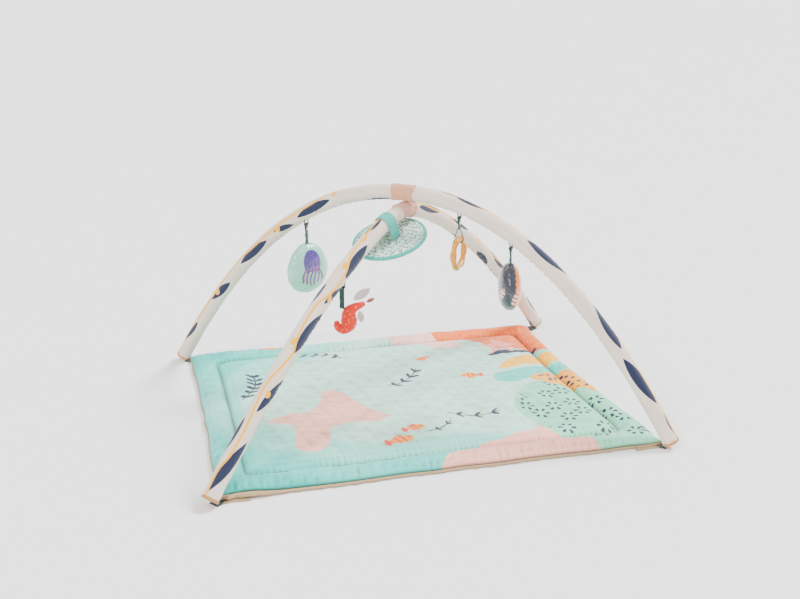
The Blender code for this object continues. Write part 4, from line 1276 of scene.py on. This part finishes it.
def pillow(name, hanger, half, seed, egg):
    """Two crinkled film panels sewn round their edge and stuffed; returns the piece and its flat places."""
    width, height, depth = half
    centre = hanger.top - UP * height
    turns = np.linspace(0, 2 * pi, PILLOW_SIDES, endpoint=False)
    shares = np.sin(np.linspace(0.02, 1, PILLOW_RINGS) * pi / 2)
    rounds, places = [], []
    for sign, order in ((1, shares), (-1, shares[::-1])):
        for share in order:
            x = np.cos(turns) * share * width * (1 - egg * np.sin(turns))
            z = np.sin(turns) * share * height
            full = (1 - share ** 2.6) ** 0.56
            crumple = np.abs(ripples(x, z + sign * 0.3, 0.030, seed, 9, 0.5)) - 0.4
            fine = np.abs(ripples(x, z + sign * 0.7, 0.012, seed + 1, 9, 0.5)) - 0.4
            waves = np.sin(turns * 23 + 2.0 * np.sin(turns * 5 + seed))
            radial = waves * np.exp(-((share - 0.93) / 0.09) ** 2)
            creases = 0.0011 * crumple + 0.0005 * fine
            lift = depth * full * (1 + 0.035 * crumple * (1 - share ** 8)) - creases * full
            lift = lift + 0.0009 * radial * full + 0.0007
            edge = 1 - 0.012 * np.sin(turns * 11 + seed) * share ** 10 - 0.02 * (share > 0.995)
            spot = (array(centre) + array(hanger.side) * (x * edge)[:, None] + array(UP) * (z * edge)[:, None]
                    + array(hanger.facing) * (sign * lift)[:, None])
            rounds.append(spot)
            places.append(np.stack([x, z, np.full_like(x, sign * 0.01) * (share < 0.999)], -1))
    piece = rings_object(name + "_pillow", rounds)
    outward(piece)
    flat = with_hubs(piece, np.array(places))
    attribute(piece, "face", flat, "FLOAT_VECTOR")
    nodes = [f"{name}_front_panel", f"{name}_back_panel", f"{name}_filling"]
    return piece, flat, nodes


def film_normal(look, place):
    """Crisp small creases, as in crackling film."""
    cells = look.add("TexVoronoi", feature="DISTANCE_TO_EDGE")
    cells.inputs["Scale"].default_value = 52.0
    warp = look.vector("ADD", place, look.vector("SCALE",
        look.vector("SUBTRACT", look.noise(60, 2), (0.5, 0.5, 0.5)), scale=0.012))
    look.put(warp, cells.inputs["Vector"])
    crease = look.math("MULTIPLY", look.math("MINIMUM", cells.outputs["Distance"], 0.16), 2.0)
    height = look.math("MULTIPLY_ADD", look.noise(42, 2), 0.9, crease)
    return look.bump(height, 0.0026, 0.7)


def film(name, roughness=0.24):
    return Look(name, roughness, coat_weight=0.8, coat_roughness=0.10, specular_ior_level=0.7)


MOTIF_SIZE = 1.4


def mint_rattle():
    piece, flat, nodes = pillow("mint", MINT, (0.0518, 0.0545, 0.0236), 41, 0.10)
    x, z, side = (flat[:, 0] + 0.0045) / MOTIF_SIZE, (flat[:, 1] - 0.002) / MOTIF_SIZE, flat[:, 2]
    bell = np.hypot(x / 0.0155, (z - 0.009) / 0.0205) - 1
    bell = np.maximum(bell * 0.016, -(z + 0.004 + 0.0016 * np.cos(x / 0.0155 * pi * 2.5)))
    arms = np.full(x.shape, 1.0)
    pale = np.full(x.shape, 1.0)
    for k in range(6):
        root = (k - 2.5) * 0.0050
        spread = 1 + (0.002 - z) * 22
        sway = root * spread + 0.0018 * np.sin((z + 0.004 * k) / 0.0046)
        reach = np.maximum(z - 0.004, -0.027 + 0.003 * abs(k - 2.5) - z)
        arms = np.minimum(arms, np.maximum(np.abs(x - sway) - 0.0019 * (1 + z * 12), reach))
        pale = np.minimum(pale, np.maximum(np.abs(x - sway - 0.0018) - 0.0006, reach))
    front = np.where(side > 0, 0.0, 1.0)
    attribute(piece, "shape", np.minimum(bell, arms) + front)
    attribute(piece, "pale", pale + front)
    look = film("mint_film")
    place = look.read_vector("face")
    ground = look.vary(linear(160, 218, 198), 0.16, 55, place)
    ground = look.mix(look.noise(24, 4, place=place), ground, linear(204, 238, 226))
    purple = look.vary(linear(134, 96, 186), 0.18, 70, place)
    colour = look.mix(look.inside(look.read("shape"), 0.0004), ground, purple)
    colour = look.mix(look.inside(look.read("pale"), 0.0003), colour, linear(238, 160, 160))
    spots = look.add("TexVoronoi", feature="F1")
    spots.inputs["Scale"].default_value = 120.0
    look.put(place, spots.inputs["Vector"])
    dot = look.math("MULTIPLY", look.math("SUBTRACT", 0.22, spots.outputs["Distance"]), 30.0, clamp=True)
    inner = look.inside(look.math("ADD", look.read("shape"), 0.003), 0.001)
    colour = look.mix(look.math("MULTIPLY", dot, inner), colour, linear(150, 112, 196))
    normal = film_normal(look, place)
    rough = look.math("MULTIPLY_ADD", look.noise(80, 3, place=place), 0.18, 0.16)
    dress(piece, look.finish(colour, normal, rough))
    settle(piece, MINT.toy, "mint_film", *nodes)


def navy_rattle():
    piece, flat, nodes = pillow("navy", NAVY_HANGER, (0.0464, 0.0470, 0.0216), 51, 0.04)
    middle = NAVY_HANGER.top - UP * 0.0470
    place = np.array([tuple(v.co) for v in piece.data.vertices]) - array(middle)
    x, z, depth = flat[:, 0], flat[:, 1], place @ array(NAVY_HANGER.facing)
    # The front panel is orange from a scalloped edge on; the rest is navy
    attribute(piece, "field", 0.0055 + 0.0022 * np.abs(np.sin((z + 0.15 * x) / 0.0034)) - depth)
    fans = np.full(x.shape, 1.0)
    for spot, low_z, half_d, half_z in ((0.0058, -0.0125, 0.0052, 0.0150),
            (-0.0190, -0.0075, 0.0046, 0.0130)):
        lean = depth - spot - 0.25 * (z - low_z)
        oval_fan = (np.hypot(lean / half_d, (z - low_z) / half_z) - 1) * half_d
        fans = np.minimum(fans, oval_fan)
    attribute(piece, "fan", np.where(np.hypot(x / 0.0464, z / 0.0470) > 0.45, fans, 1.0))
    attribute(piece, "spoke", z + 0.55 * depth)
    look = film("navy_film")
    place = look.read_vector("face")
    navy = look.vary(linear(58, 76, 108), 0.25, 60, place)
    orange = look.vary(linear(252, 190, 84), 0.10, 80, place)
    specks = look.add("TexVoronoi", feature="F1")
    specks.inputs["Scale"].default_value = 260.0
    look.put(place, specks.inputs["Vector"])
    speck = look.math("MULTIPLY", look.math("SUBTRACT", 0.26, specks.outputs["Distance"]), 20.0, clamp=True)
    orange = look.mix(look.math("MULTIPLY", speck, 0.7), orange, linear(224, 112, 30))
    colour = look.mix(look.inside(look.read("field"), 0.0004), navy, orange)
    bars = look.math("SINE", look.math("MULTIPLY", look.read("spoke"), 2 * pi / 0.0095))
    stripes = look.mix(look.math("MULTIPLY", bars, 12.0, clamp=True), linear(238, 238, 232),
        linear(226, 84, 44))
    colour = look.mix(look.inside(look.read("fan"), 0.0004), colour, stripes)
    normal = film_normal(look, place)
    rough = look.math("MULTIPLY_ADD", look.noise(80, 3, place=place), 0.18, 0.16)
    dress(piece, look.finish(colour, normal, rough))
    settle(piece, NAVY_HANGER.toy, "navy_film", *nodes)


mint_rattle()
navy_rattle()


# ---------------------------------------------------------------- ring teether
RING_RADIUS = 0.0290
RING_TUBE = 0.0060
RING_WAVE = 0.0008
RING_LOBES = 6
RING_WALL = 0.0012


def ring_centre():
    low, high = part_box("ring_shell_front")
    other_low, other_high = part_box("ring_shell_back")
    return Vector([(min(a, b) + max(c, d)) / 2 for a, b, c, d in zip(low, other_low, high, other_high)])


def make_ring():
    """A wavy hollow ring in clear amber plastic, with the welded line of its two halves."""
    centre = ring_centre()
    big = np.linspace(0, 2 * pi, 144, endpoint=False)
    small = np.linspace(0, 2 * pi, 28, endpoint=False)
    vertices, faces = [], []
    for inner in (False, True):
        base = len(vertices)
        for turn in big:
            out = array(RING.across) * cos(turn) + array(UP) * sin(turn)
            tube = RING_TUBE + RING_WAVE * cos(RING_LOBES * turn) - (RING_WALL if inner else 0.0)
            radius = RING_RADIUS + 0.0006 * sin(RING_LOBES * turn + 0.6)
            for lean in small:
                weld = 0.0 if inner else 0.00035 * np.exp(-(np.sin(lean) / 0.06) ** 2)
                r = tube + weld
                middle = array(centre) + out * (radius + r * cos(lean))
                vertices.append(middle + array(RING.along) * r * sin(lean))
        for i in range(len(big)):
            j = (i + 1) % len(big)
            for k in range(len(small)):
                q = (k + 1) % len(small)
                quad = [base + i * 28 + k, base + j * 28 + k, base + j * 28 + q, base + i * 28 + q]
                faces.append(quad[::-1] if inner else quad)
    piece = mesh_object("ring_shell", vertices, faces)
    look = Look("ring", 0.16, transmission_weight=0.6, ior=1.45, coat_weight=0.4, coat_roughness=0.08,
                subsurface_weight=0.25, subsurface_scale=0.004)
    look.surface.inputs["Subsurface Radius"].default_value = (1.0, 0.5, 0.1)
    streak = look.noise(90, 3)
    colour = look.mix(streak, linear(255, 206, 10), linear(255, 224, 50))
    rough = look.math("MULTIPLY_ADD", look.noise(60), 0.16, 0.10)
    dress(piece, look.finish(colour, look.bump(look.noise(140, 3), 0.0006, 0.4), rough))
    settle(piece, RING.toy, "ring", "ring_shell_front", "ring_shell_back")


def make_beads():
    for name, colour in (("blue", linear(70, 150, 220)), ("green", linear(130, 200, 90)),
            ("pink", linear(240, 150, 170))):
        low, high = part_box("ring_bead_" + name)
        middle, radius = (low + high) / 2, (high.x - low.x) / 2
        profile = [(radius * max(sin(t), 0.03), -radius * cos(t)) for t in np.linspace(0.06, pi - 0.06, 17)]
        piece = lathe("bead_" + name, profile, middle, UP, Vector((1, 0, 0)), Vector((0, 1, 0)), 24)
        dress(piece, plastic_look("bead_" + name, colour, 0.25, 0.08))
        settle(piece, "ring_beads", "bead_" + name, "ring_bead_" + name)


def make_ring_cord():
    """The thin cord from the strap round the top of the ring."""
    radius = 0.0010
    knot = RING.top
    centre = ring_centre()
    middle = centre.z + RING_RADIUS
    under = RING_TUBE + RING_WAVE + radius + 0.0006
    flat = [(0.0, knot.z - radius * 0.4)]
    flat.append((0.0042, (knot.z + middle + under) / 2))
    for i in range(7):
        turn = radians(20) - radians(220) * i / 6
        flat.append((under * cos(turn) * 1.06, middle + under * sin(turn)))
    flat.append((-0.0042, (knot.z + middle + under) / 2))
    line = smooth_curve(flat, True, 9)
    base = Vector((RING.pivot.x, RING.pivot.y, 0))
    points = [array(base + RING.along * x + UP * z) for x, z in line]
    piece = round_cord("ring_loop_cord", points, radius, closed=True, twist=1900)
    dress(piece, GREEN_TAPE)
    settle(piece, RING.toy, "green_webbing", "ring_cord")


make_ring()
make_beads()
make_ring_cord()


# ---------------------------------------------------------------- soft fish
FISH_SPINE = (
    (0.0435, 0.0060, 0.0034), (0.0345, 0.0025, 0.0062), (0.0235, -0.0025, 0.0086), (0.0145, -0.0100, 0.0116),
    (0.0125, -0.0210, 0.0136), (0.0125, -0.0320, 0.0150), (0.0065, -0.0420, 0.0126),
    (-0.0025, -0.0445, 0.0092),
    (-0.0095, -0.0380, 0.0068), (-0.0110, -0.0290, 0.0036),
)
FISH_FLATNESS = 0.85


def make_fish():
    """A curled padded body with a sewn edge and crosswise creases."""
    spine = smooth_curve(FISH_SPINE, False, 10)
    ahead = np.gradient(spine[:, :2], axis=0)
    ahead /= np.linalg.norm(ahead, axis=1)[:, None]
    turns = np.linspace(0, 2 * pi, 44, endpoint=False)
    run = np.concatenate([[0], np.cumsum(np.linalg.norm(np.diff(spine[:, :2], axis=0), axis=1))])
    R, T = np.meshgrid(run, turns, indexing="ij")
    seam = np.exp(-(np.sin(T) / 0.13) ** 2)
    creases = ripples(R, T * 0.004, 0.0085, 61, 8, 0.5, heading=0.0, fan=0.6)
    gathers = ripples(R, T * 0.0, 0.0048, 62, 8, 0.4, heading=0.0, fan=0.2)
    thick = spine[:, 2][:, None] * (1 + 0.045 * creases + 0.03 * seam * gathers) + 0.0006 * seam
    rounds = []
    for i in range(len(spine)):
        out = array(FISH.side) * ahead[i, 1] - array(UP) * ahead[i, 0]
        middle = array(FISH.top) + array(FISH.side) * spine[i, 0] + array(UP) * spine[i, 1]
        ray = np.cos(turns)[:, None] * out + np.sin(turns)[:, None] * FISH_FLATNESS * array(FISH.facing)
        rounds.append(middle + ray * thick[i][:, None])
    piece = outward(rings_object("fish_padded_body", rounds))
    place = np.stack([R, np.abs(np.mod(T, 2 * pi) - pi) * 0.010, 0 * R], -1)
    attribute(piece, "unrolled", with_hubs(piece, place), "FLOAT_VECTOR")
    attribute(piece, "seam", with_hubs(piece, np.abs(np.sin(T)) * 0.010))
    look = Look("orange_fabric", 0.9, sheen_weight=0.5, sheen_roughness=0.4)
    cloth = look.read_vector("unrolled")
    colour = look.vary(RED_ORANGE, 0.12, 120, cloth)
    colour = look.mix(look.inside(look.math("SUBTRACT", look.read("seam"), 0.0011), 0.0004), colour,
        linear(190, 52, 22))
    marks = look.add("TexVoronoi", voronoi_dimensions="2D", feature="F1")
    marks.inputs["Scale"].default_value = 105.0
    look.put(look.vector("MULTIPLY", cloth, (0.8, 1.5, 1.0)), marks.inputs["Vector"])
    mark = look.math("MULTIPLY", look.math("SUBTRACT", 0.15, marks.outputs["Distance"]), 26.0, clamp=True)
    body = look.math("MULTIPLY", look.math("SUBTRACT", look.read("seam"), 0.0045), 900.0, clamp=True)
    colour = look.mix(look.math("MULTIPLY", look.math("MULTIPLY", mark, body), 0.7), colour,
        linear(250, 206, 190))
    height = look.math("MULTIPLY_ADD", look.noise(900, 2), 0.4, look.noise(180, 3))
    dress(piece, look.finish(colour, look.bump(height, 0.0008, 0.7)))
    settle(piece, FISH.toy, "orange_fabric", "fish_body")


def leaf_pad(name, start, end, width, thickness, material, slot, node):
    """A small padded leaf across the toy's face, thick in its middle and sewn round its rim."""
    a, b = Vector(start), Vector(end)
    way = b - a
    across = Vector((-way.y, way.x)).normalized() * (width / 2)
    shares = np.linspace(0.012, 0.988, 40)
    turns = np.linspace(0, 2 * pi, 28, endpoint=False)
    rounds, places = [], []
    for t in shares:
        middle = a + way * t
        half = sin(pi * t) ** 0.8
        flat = np.cos(turns) * half
        rim = np.abs(np.sin(turns)) ** 0.75 * np.sign(np.sin(turns))
        ruffle = 1 + 0.12 * sin(t * 31) * (1 - np.abs(np.cos(turns)))
        puff = rim * thickness / 2 * (0.22 + 0.78 * half) * ruffle
        wrinkle = 0.0004 * np.sin(t * 46 + np.cos(turns) * 3) * half
        x = middle.x + across.x * flat
        z = middle.y + across.y * flat
        rounds.append(array(FISH.top) + x[:, None] * array(FISH.side) + z[:, None] * array(UP)
                      + (puff + wrinkle)[:, None] * array(FISH.facing))
        places.append(np.stack([np.full_like(flat, t), flat, np.abs(np.cos(turns))], -1))
    piece = outward(rings_object(name, rounds))
    attribute(piece, "leaf", with_hubs(piece, np.array(places)), "FLOAT_VECTOR")
    dress(piece, material)
    settle(piece, FISH.toy, slot, node)


def fin_look(name, colour, streaks, second):
    """Pale cloth with a darker dash and a fine weave."""
    look = Look(name, 0.88, sheen_weight=0.35, sheen_roughness=0.4)
    t, flat, rim = look.xyz(look.read_vector("leaf"))
    base = look.vary(colour, 0.07, 110)
    lines = look.math("SINE", look.math("MULTIPLY_ADD", t, 46.0, look.math("MULTIPLY", flat, 5.0)))
    thin = look.math("MULTIPLY", look.math("SUBTRACT", lines, 0.86), 9.0, clamp=True)
    inner = look.math("MULTIPLY", look.math("SUBTRACT", 0.72, rim), 8.0, clamp=True)
    base = look.mix(look.math("MULTIPLY", look.math("MULTIPLY", thin, inner), streaks), base, second)
    sewn = look.math("MULTIPLY", look.math("SUBTRACT", 0.035,
        look.math("ABSOLUTE", look.math("SUBTRACT", rim, 0.86))), 60.0, clamp=True)
    base = look.mix(look.math("MULTIPLY", sewn, 0.35), base, second)
    return look.finish(base, look.bump(look.noise(700, 3), 0.0005, 0.6))


make_fish()
FIN = fin_look("fin_fabric", linear(222, 214, 212), 0.55, linear(96, 106, 122))
TIP = fin_look("tail_fabric", linear(196, 154, 132), 0.3, linear(150, 108, 88))
leaf_pad("fish_upper_fin", (0.0215, 0.0130), (0.0545, 0.0360), 0.0170, 0.0046, FIN, "fin_fabric",
    "fish_fin_upper")
leaf_pad("fish_lower_fin", (0.0335, -0.0090), (0.0375, -0.0330), 0.0130, 0.0046, FIN, "fin_fabric",
    "fish_fin_lower")
leaf_pad("fish_tan_tip", (0.0455, 0.0080), (0.0625, 0.0160), 0.0075, 0.0036, TIP, "tail_fabric",
    "fish_tail_tip")


# ---------------------------------------------------------------- mirror
MIRROR_AT = -0.109
MIRROR_RADIUS = 0.0760
MIRROR_DROP = 0.0335
MIRROR_LEVELLING = 0.7
BINDING_WIDTH = 0.0078
BAND_RADIUS = 0.0175
BAND_WIDTH = 0.0250
BAND_THICKNESS = 0.0016
DISC_SIDES = 144


class Mirror:
    pivot = ARCH_B.point(MIRROR_AT)
    reach = MIRROR_LEVELLING * MIRROR_RADIUS / HALF_SPAN
    forward = (ARCH_B.point(MIRROR_AT + reach) - ARCH_B.point(MIRROR_AT - reach)).normalized()
    side = ARCH_B.across
    up = side.cross(forward) * (1 if side.cross(forward).z > 0 else -1)


def teal_look():
    look = Look("teal_binding", 0.7, sheen_weight=0.5, sheen_roughness=0.35)
    x, y, z = look.xyz(look.place())
    weave = look.threads(look.math("ADD", x, z), y, 0.0010)
    colour = look.mix(look.noise(30, 3), look.vary(linear(88, 204, 194), 0.08, 90), linear(126, 222, 212))
    colour = look.mix(look.math("MULTIPLY", weave, 0.15), colour, linear(30, 150, 140))
    height = look.math("MULTIPLY_ADD", weave, 0.3, look.noise(170, 3))
    return look.finish(colour, look.bump(height, 0.0007, 0.6),
        look.math("MULTIPLY_ADD", look.noise(50), 0.12, 0.62))


def mirror_back_look():
    """Pale mint cloth with small broken navy rings."""
    look = Look("mirror_fabric", 0.8, sheen_weight=0.3, sheen_roughness=0.5)
    place = look.read_vector("disc")
    cells = look.add("TexVoronoi", voronoi_dimensions="2D", feature="F1")
    cells.inputs["Scale"].default_value = 92.0
    cells.inputs["Randomness"].default_value = 0.42
    look.put(place, cells.inputs["Vector"])
    x, y, _ = look.xyz(place)
    cx, cy, _ = look.xyz(cells.outputs["Position"])
    angle = look.math("ARCTAN2", look.math("SUBTRACT", y, cy), look.math("SUBTRACT", x, cx))
    hue, _, _ = look.xyz(cells.outputs["Color"])
    petals = look.math("COSINE", look.math("MULTIPLY_ADD", hue, 20.0, angle))
    ring = look.math("ABSOLUTE", look.math("SUBTRACT", cells.outputs["Distance"], 0.30))
    line = look.math("MULTIPLY", look.math("SUBTRACT", 0.115, ring), 24.0, clamp=True)
    broken = look.math("MULTIPLY", look.math("ADD", petals, 0.80), 8.0, clamp=True)
    flower = look.math("MULTIPLY", line, broken)
    ground = look.vary(linear(226, 246, 238), 0.03, 40, place)
    colour = look.mix(flower, ground, linear(70, 116, 138))
    weave = look.threads(x, y, 0.0009)
    height = look.math("MULTIPLY_ADD", weave, 0.25, look.noise(110, 3, place=place))
    return look.finish(colour, look.bump(height, 0.0009, 0.5))


def make_mirror():
    top = -MIRROR_DROP
    axes = (Mirror.pivot, Mirror.up, Mirror.forward, Mirror.side)
    disc = MIRROR_RADIUS - 0.0032
    shares = np.linspace(0.02, 1, 26)
    turns = np.linspace(0, 2 * pi, DISC_SIDES, endpoint=False)
    rounds, places = [], []
    for high, order in ((True, shares), (False, shares[::-1])):
        for share in order:
            r = disc * share
            x, y = r * np.cos(turns), r * np.sin(turns)
            puckers = 0.0005 * np.sin(turns * 31 + 2 * np.sin(turns * 7)) * share ** 9
            height = top - 0.0011 + 0.0008 * (1 - share ** 2) + puckers + 0.0003 * ripples(x, y, 0.05, 71)
            if not high:
                height = np.full_like(x, top - 0.0026)
            rounds.append(array(Mirror.pivot) + x[:, None] * array(Mirror.forward)
                          + y[:, None] * array(Mirror.side) + height[:, None] * array(Mirror.up))
            places.append(np.stack([x, y, 0 * x], -1))
    back = outward(rings_object("mirror_printed_back", rounds))
    attribute(back, "disc", with_hubs(back, np.array(places)), "FLOAT_VECTOR")
    dress(back, mirror_back_look())
    settle(back, "mirror", "mirror_fabric", "mirror_back_panel")

    # The binding: a bias tape folded over the rim, puckered where it is sewn
    section = np.linspace(0, 2 * pi, 26, endpoint=False)
    middle_height = top - 0.0039
    rounds = []
    for turn in turns:
        tight = 1 + 0.05 * sin(turn * 37) + 0.04 * sin(turn * 23 + 1.0)
        across = np.sign(np.cos(section)) * np.abs(np.cos(section)) ** 0.8 * BINDING_WIDTH / 2
        through = np.sign(np.sin(section)) * np.abs(np.sin(section)) ** 0.75 * 0.0038 * tight
        groove = 0.0007 * np.exp(-((across + BINDING_WIDTH * 0.32) / 0.0005) ** 2) * np.sign(through)
        out = array(Mirror.forward) * cos(turn) + array(Mirror.side) * sin(turn)
        r = MIRROR_RADIUS - BINDING_WIDTH / 2 + across
        rounds.append(array(Mirror.pivot) + r[:, None] * out
                      + (middle_height + through - groove)[:, None] * array(Mirror.up))
    binding = outward(rings_object("mirror_bias_binding", rounds, along=True, ends=False))
    dress(binding, TEAL_CLOTH)
    settle(binding, "mirror", "teal_binding", "mirror_binding")

    plate = lathe("mirror_sheet", (
        (0.002, top - 0.0059), (disc - 0.002, top - 0.0059), (disc - 0.0006, top - 0.0061),
        (disc - 0.0006, top - 0.0070),
        (disc - 0.0016, top - 0.0074), (0.03, top - 0.0074), (0.002, top - 0.0074)), *axes, sides=DISC_SIDES)
    look = Look("mirror_plate", 0.05, metallic=1.0)
    rough = look.math("MULTIPLY_ADD", look.noise(25, 5), 0.06, 0.02)
    silver = look.vary(linear(226, 232, 236), 0.03, 20)
    dress(plate, look.finish(silver, look.bump(look.noise(18, 2), 0.002, 0.12), rough))
    settle(plate, "mirror", "mirror_plate", "mirror_plate")


def make_mirror_band():
    """The wide loop that holds the mirror, arching loosely over the sleeve."""
    foot = -MIRROR_DROP + 0.0012
    radius = BAND_RADIUS + BAND_THICKNESS / 2
    path = [(radius + 0.0008 * sin((z - foot) * 160), z) for z in np.linspace(foot, -0.001, 18)]
    path += [(radius * cos(t), radius * sin(t)) for t in np.linspace(0.03, pi - 0.03, 40)]
    path += [(-x, z) for x, z in path[:18][::-1]]

    def flare(t, across):
        return 0.0011 * across ** 2 * sin(pi * t) - 0.0007 * (1 - across ** 2) * sin(9 * t)

    piece = ribbon("mirror_loop", path, Mirror.pivot, Mirror.side, Mirror.up, Mirror.forward, BAND_WIDTH,
                   BAND_THICKNESS, flare)
    dress(piece, TEAL_CLOTH)
    settle(piece, "mirror", "teal_binding", "mirror_band")
    length = sum(hypot(b[0] - a[0], b[1] - a[1]) for a, b in zip(path, path[1:]))


TEAL_CLOTH = teal_look()
make_mirror()
make_mirror_band()


# ---------------------------------------------------------------- parts inside, carried over from the CAD

def foam_look(name, colour):
    look = Look(name, 0.95)
    cells = look.add("TexVoronoi", feature="F1")
    cells.inputs["Scale"].default_value = 900.0
    return look.finish(look.vary(colour, 0.06, 80), look.bump(cells.outputs["Distance"], 0.0005, 0.6))


INSIDE = {
    "foam": foam_look("foam", linear(232, 232, 226)),
    "wadding": foam_look("wadding", linear(244, 244, 240)),
    "rod": plastic_look("rod", linear(70, 74, 78), 0.4),
    "capsule": plastic_look("capsule", linear(236, 120, 60), 0.3),
}
for node, thing in frame["nodes"].items():
    if "_foam" in node:
        dress(thing, INSIDE["foam"])
    elif "_padding" in node or "_filling" in node:
        dress(thing, INSIDE["wadding"])
    elif "_rod_" in node or "_spigot" in node:
        dress(thing, INSIDE["rod"])
    elif "_capsule" in node:
        dress(thing, INSIDE["capsule"])


# ---------------------------------------------------------------- floor and light
FLOOR_HALF = 60.0
FLOOR_DROP = 0.0004             # keeps the floor's face just under the mat's
WORLD_STRENGTH = 1.45
# Name, place it shines from, power in watts per square metre and width of its disc in degrees
SUNS = (("key", (1.1, 0.3, 1.3), 5.0, 16), ("left", (-1.3, -0.9, 1.3), 1.9, 9))


def make_stage():
    """A wide pale floor, an even white surrounding and two soft suns."""
    corners = [(x * FLOOR_HALF, y * FLOOR_HALF, 0) for x, y in ((-1, -1), (1, -1), (1, 1), (-1, 1))]
    data = bpy.data.meshes.new("floor")
    data.from_pydata(corners, [], [(0, 1, 2, 3)])
    floor = bpy.data.objects.new("floor", data)
    floor.location.z = -FLOOR_DROP
    bpy.context.scene.collection.objects.link(floor)
    look = Look("floor", 0.9)
    dress(floor, look.finish(look.vary(linear(250, 250, 250), 0.006, 3)))
    world = bpy.data.worlds.new("studio")
    bpy.context.scene.world = world
    world.use_nodes = True
    world.node_tree.nodes["Background"].inputs["Color"].default_value = (1.0, 1.0, 1.0, 1.0)
    world.node_tree.nodes["Background"].inputs["Strength"].default_value = WORLD_STRENGTH
    for name, place, power, width in SUNS:
        lamp = bpy.data.lights.new(name, "SUN")
        lamp.energy = power
        lamp.angle = radians(width)
        thing = bpy.data.objects.new(name, lamp)
        thing.location = place
        thing.rotation_euler = (-Vector(place)).to_track_quat("-Z", "Y").to_euler()
        bpy.context.scene.collection.objects.link(thing)


make_stage()
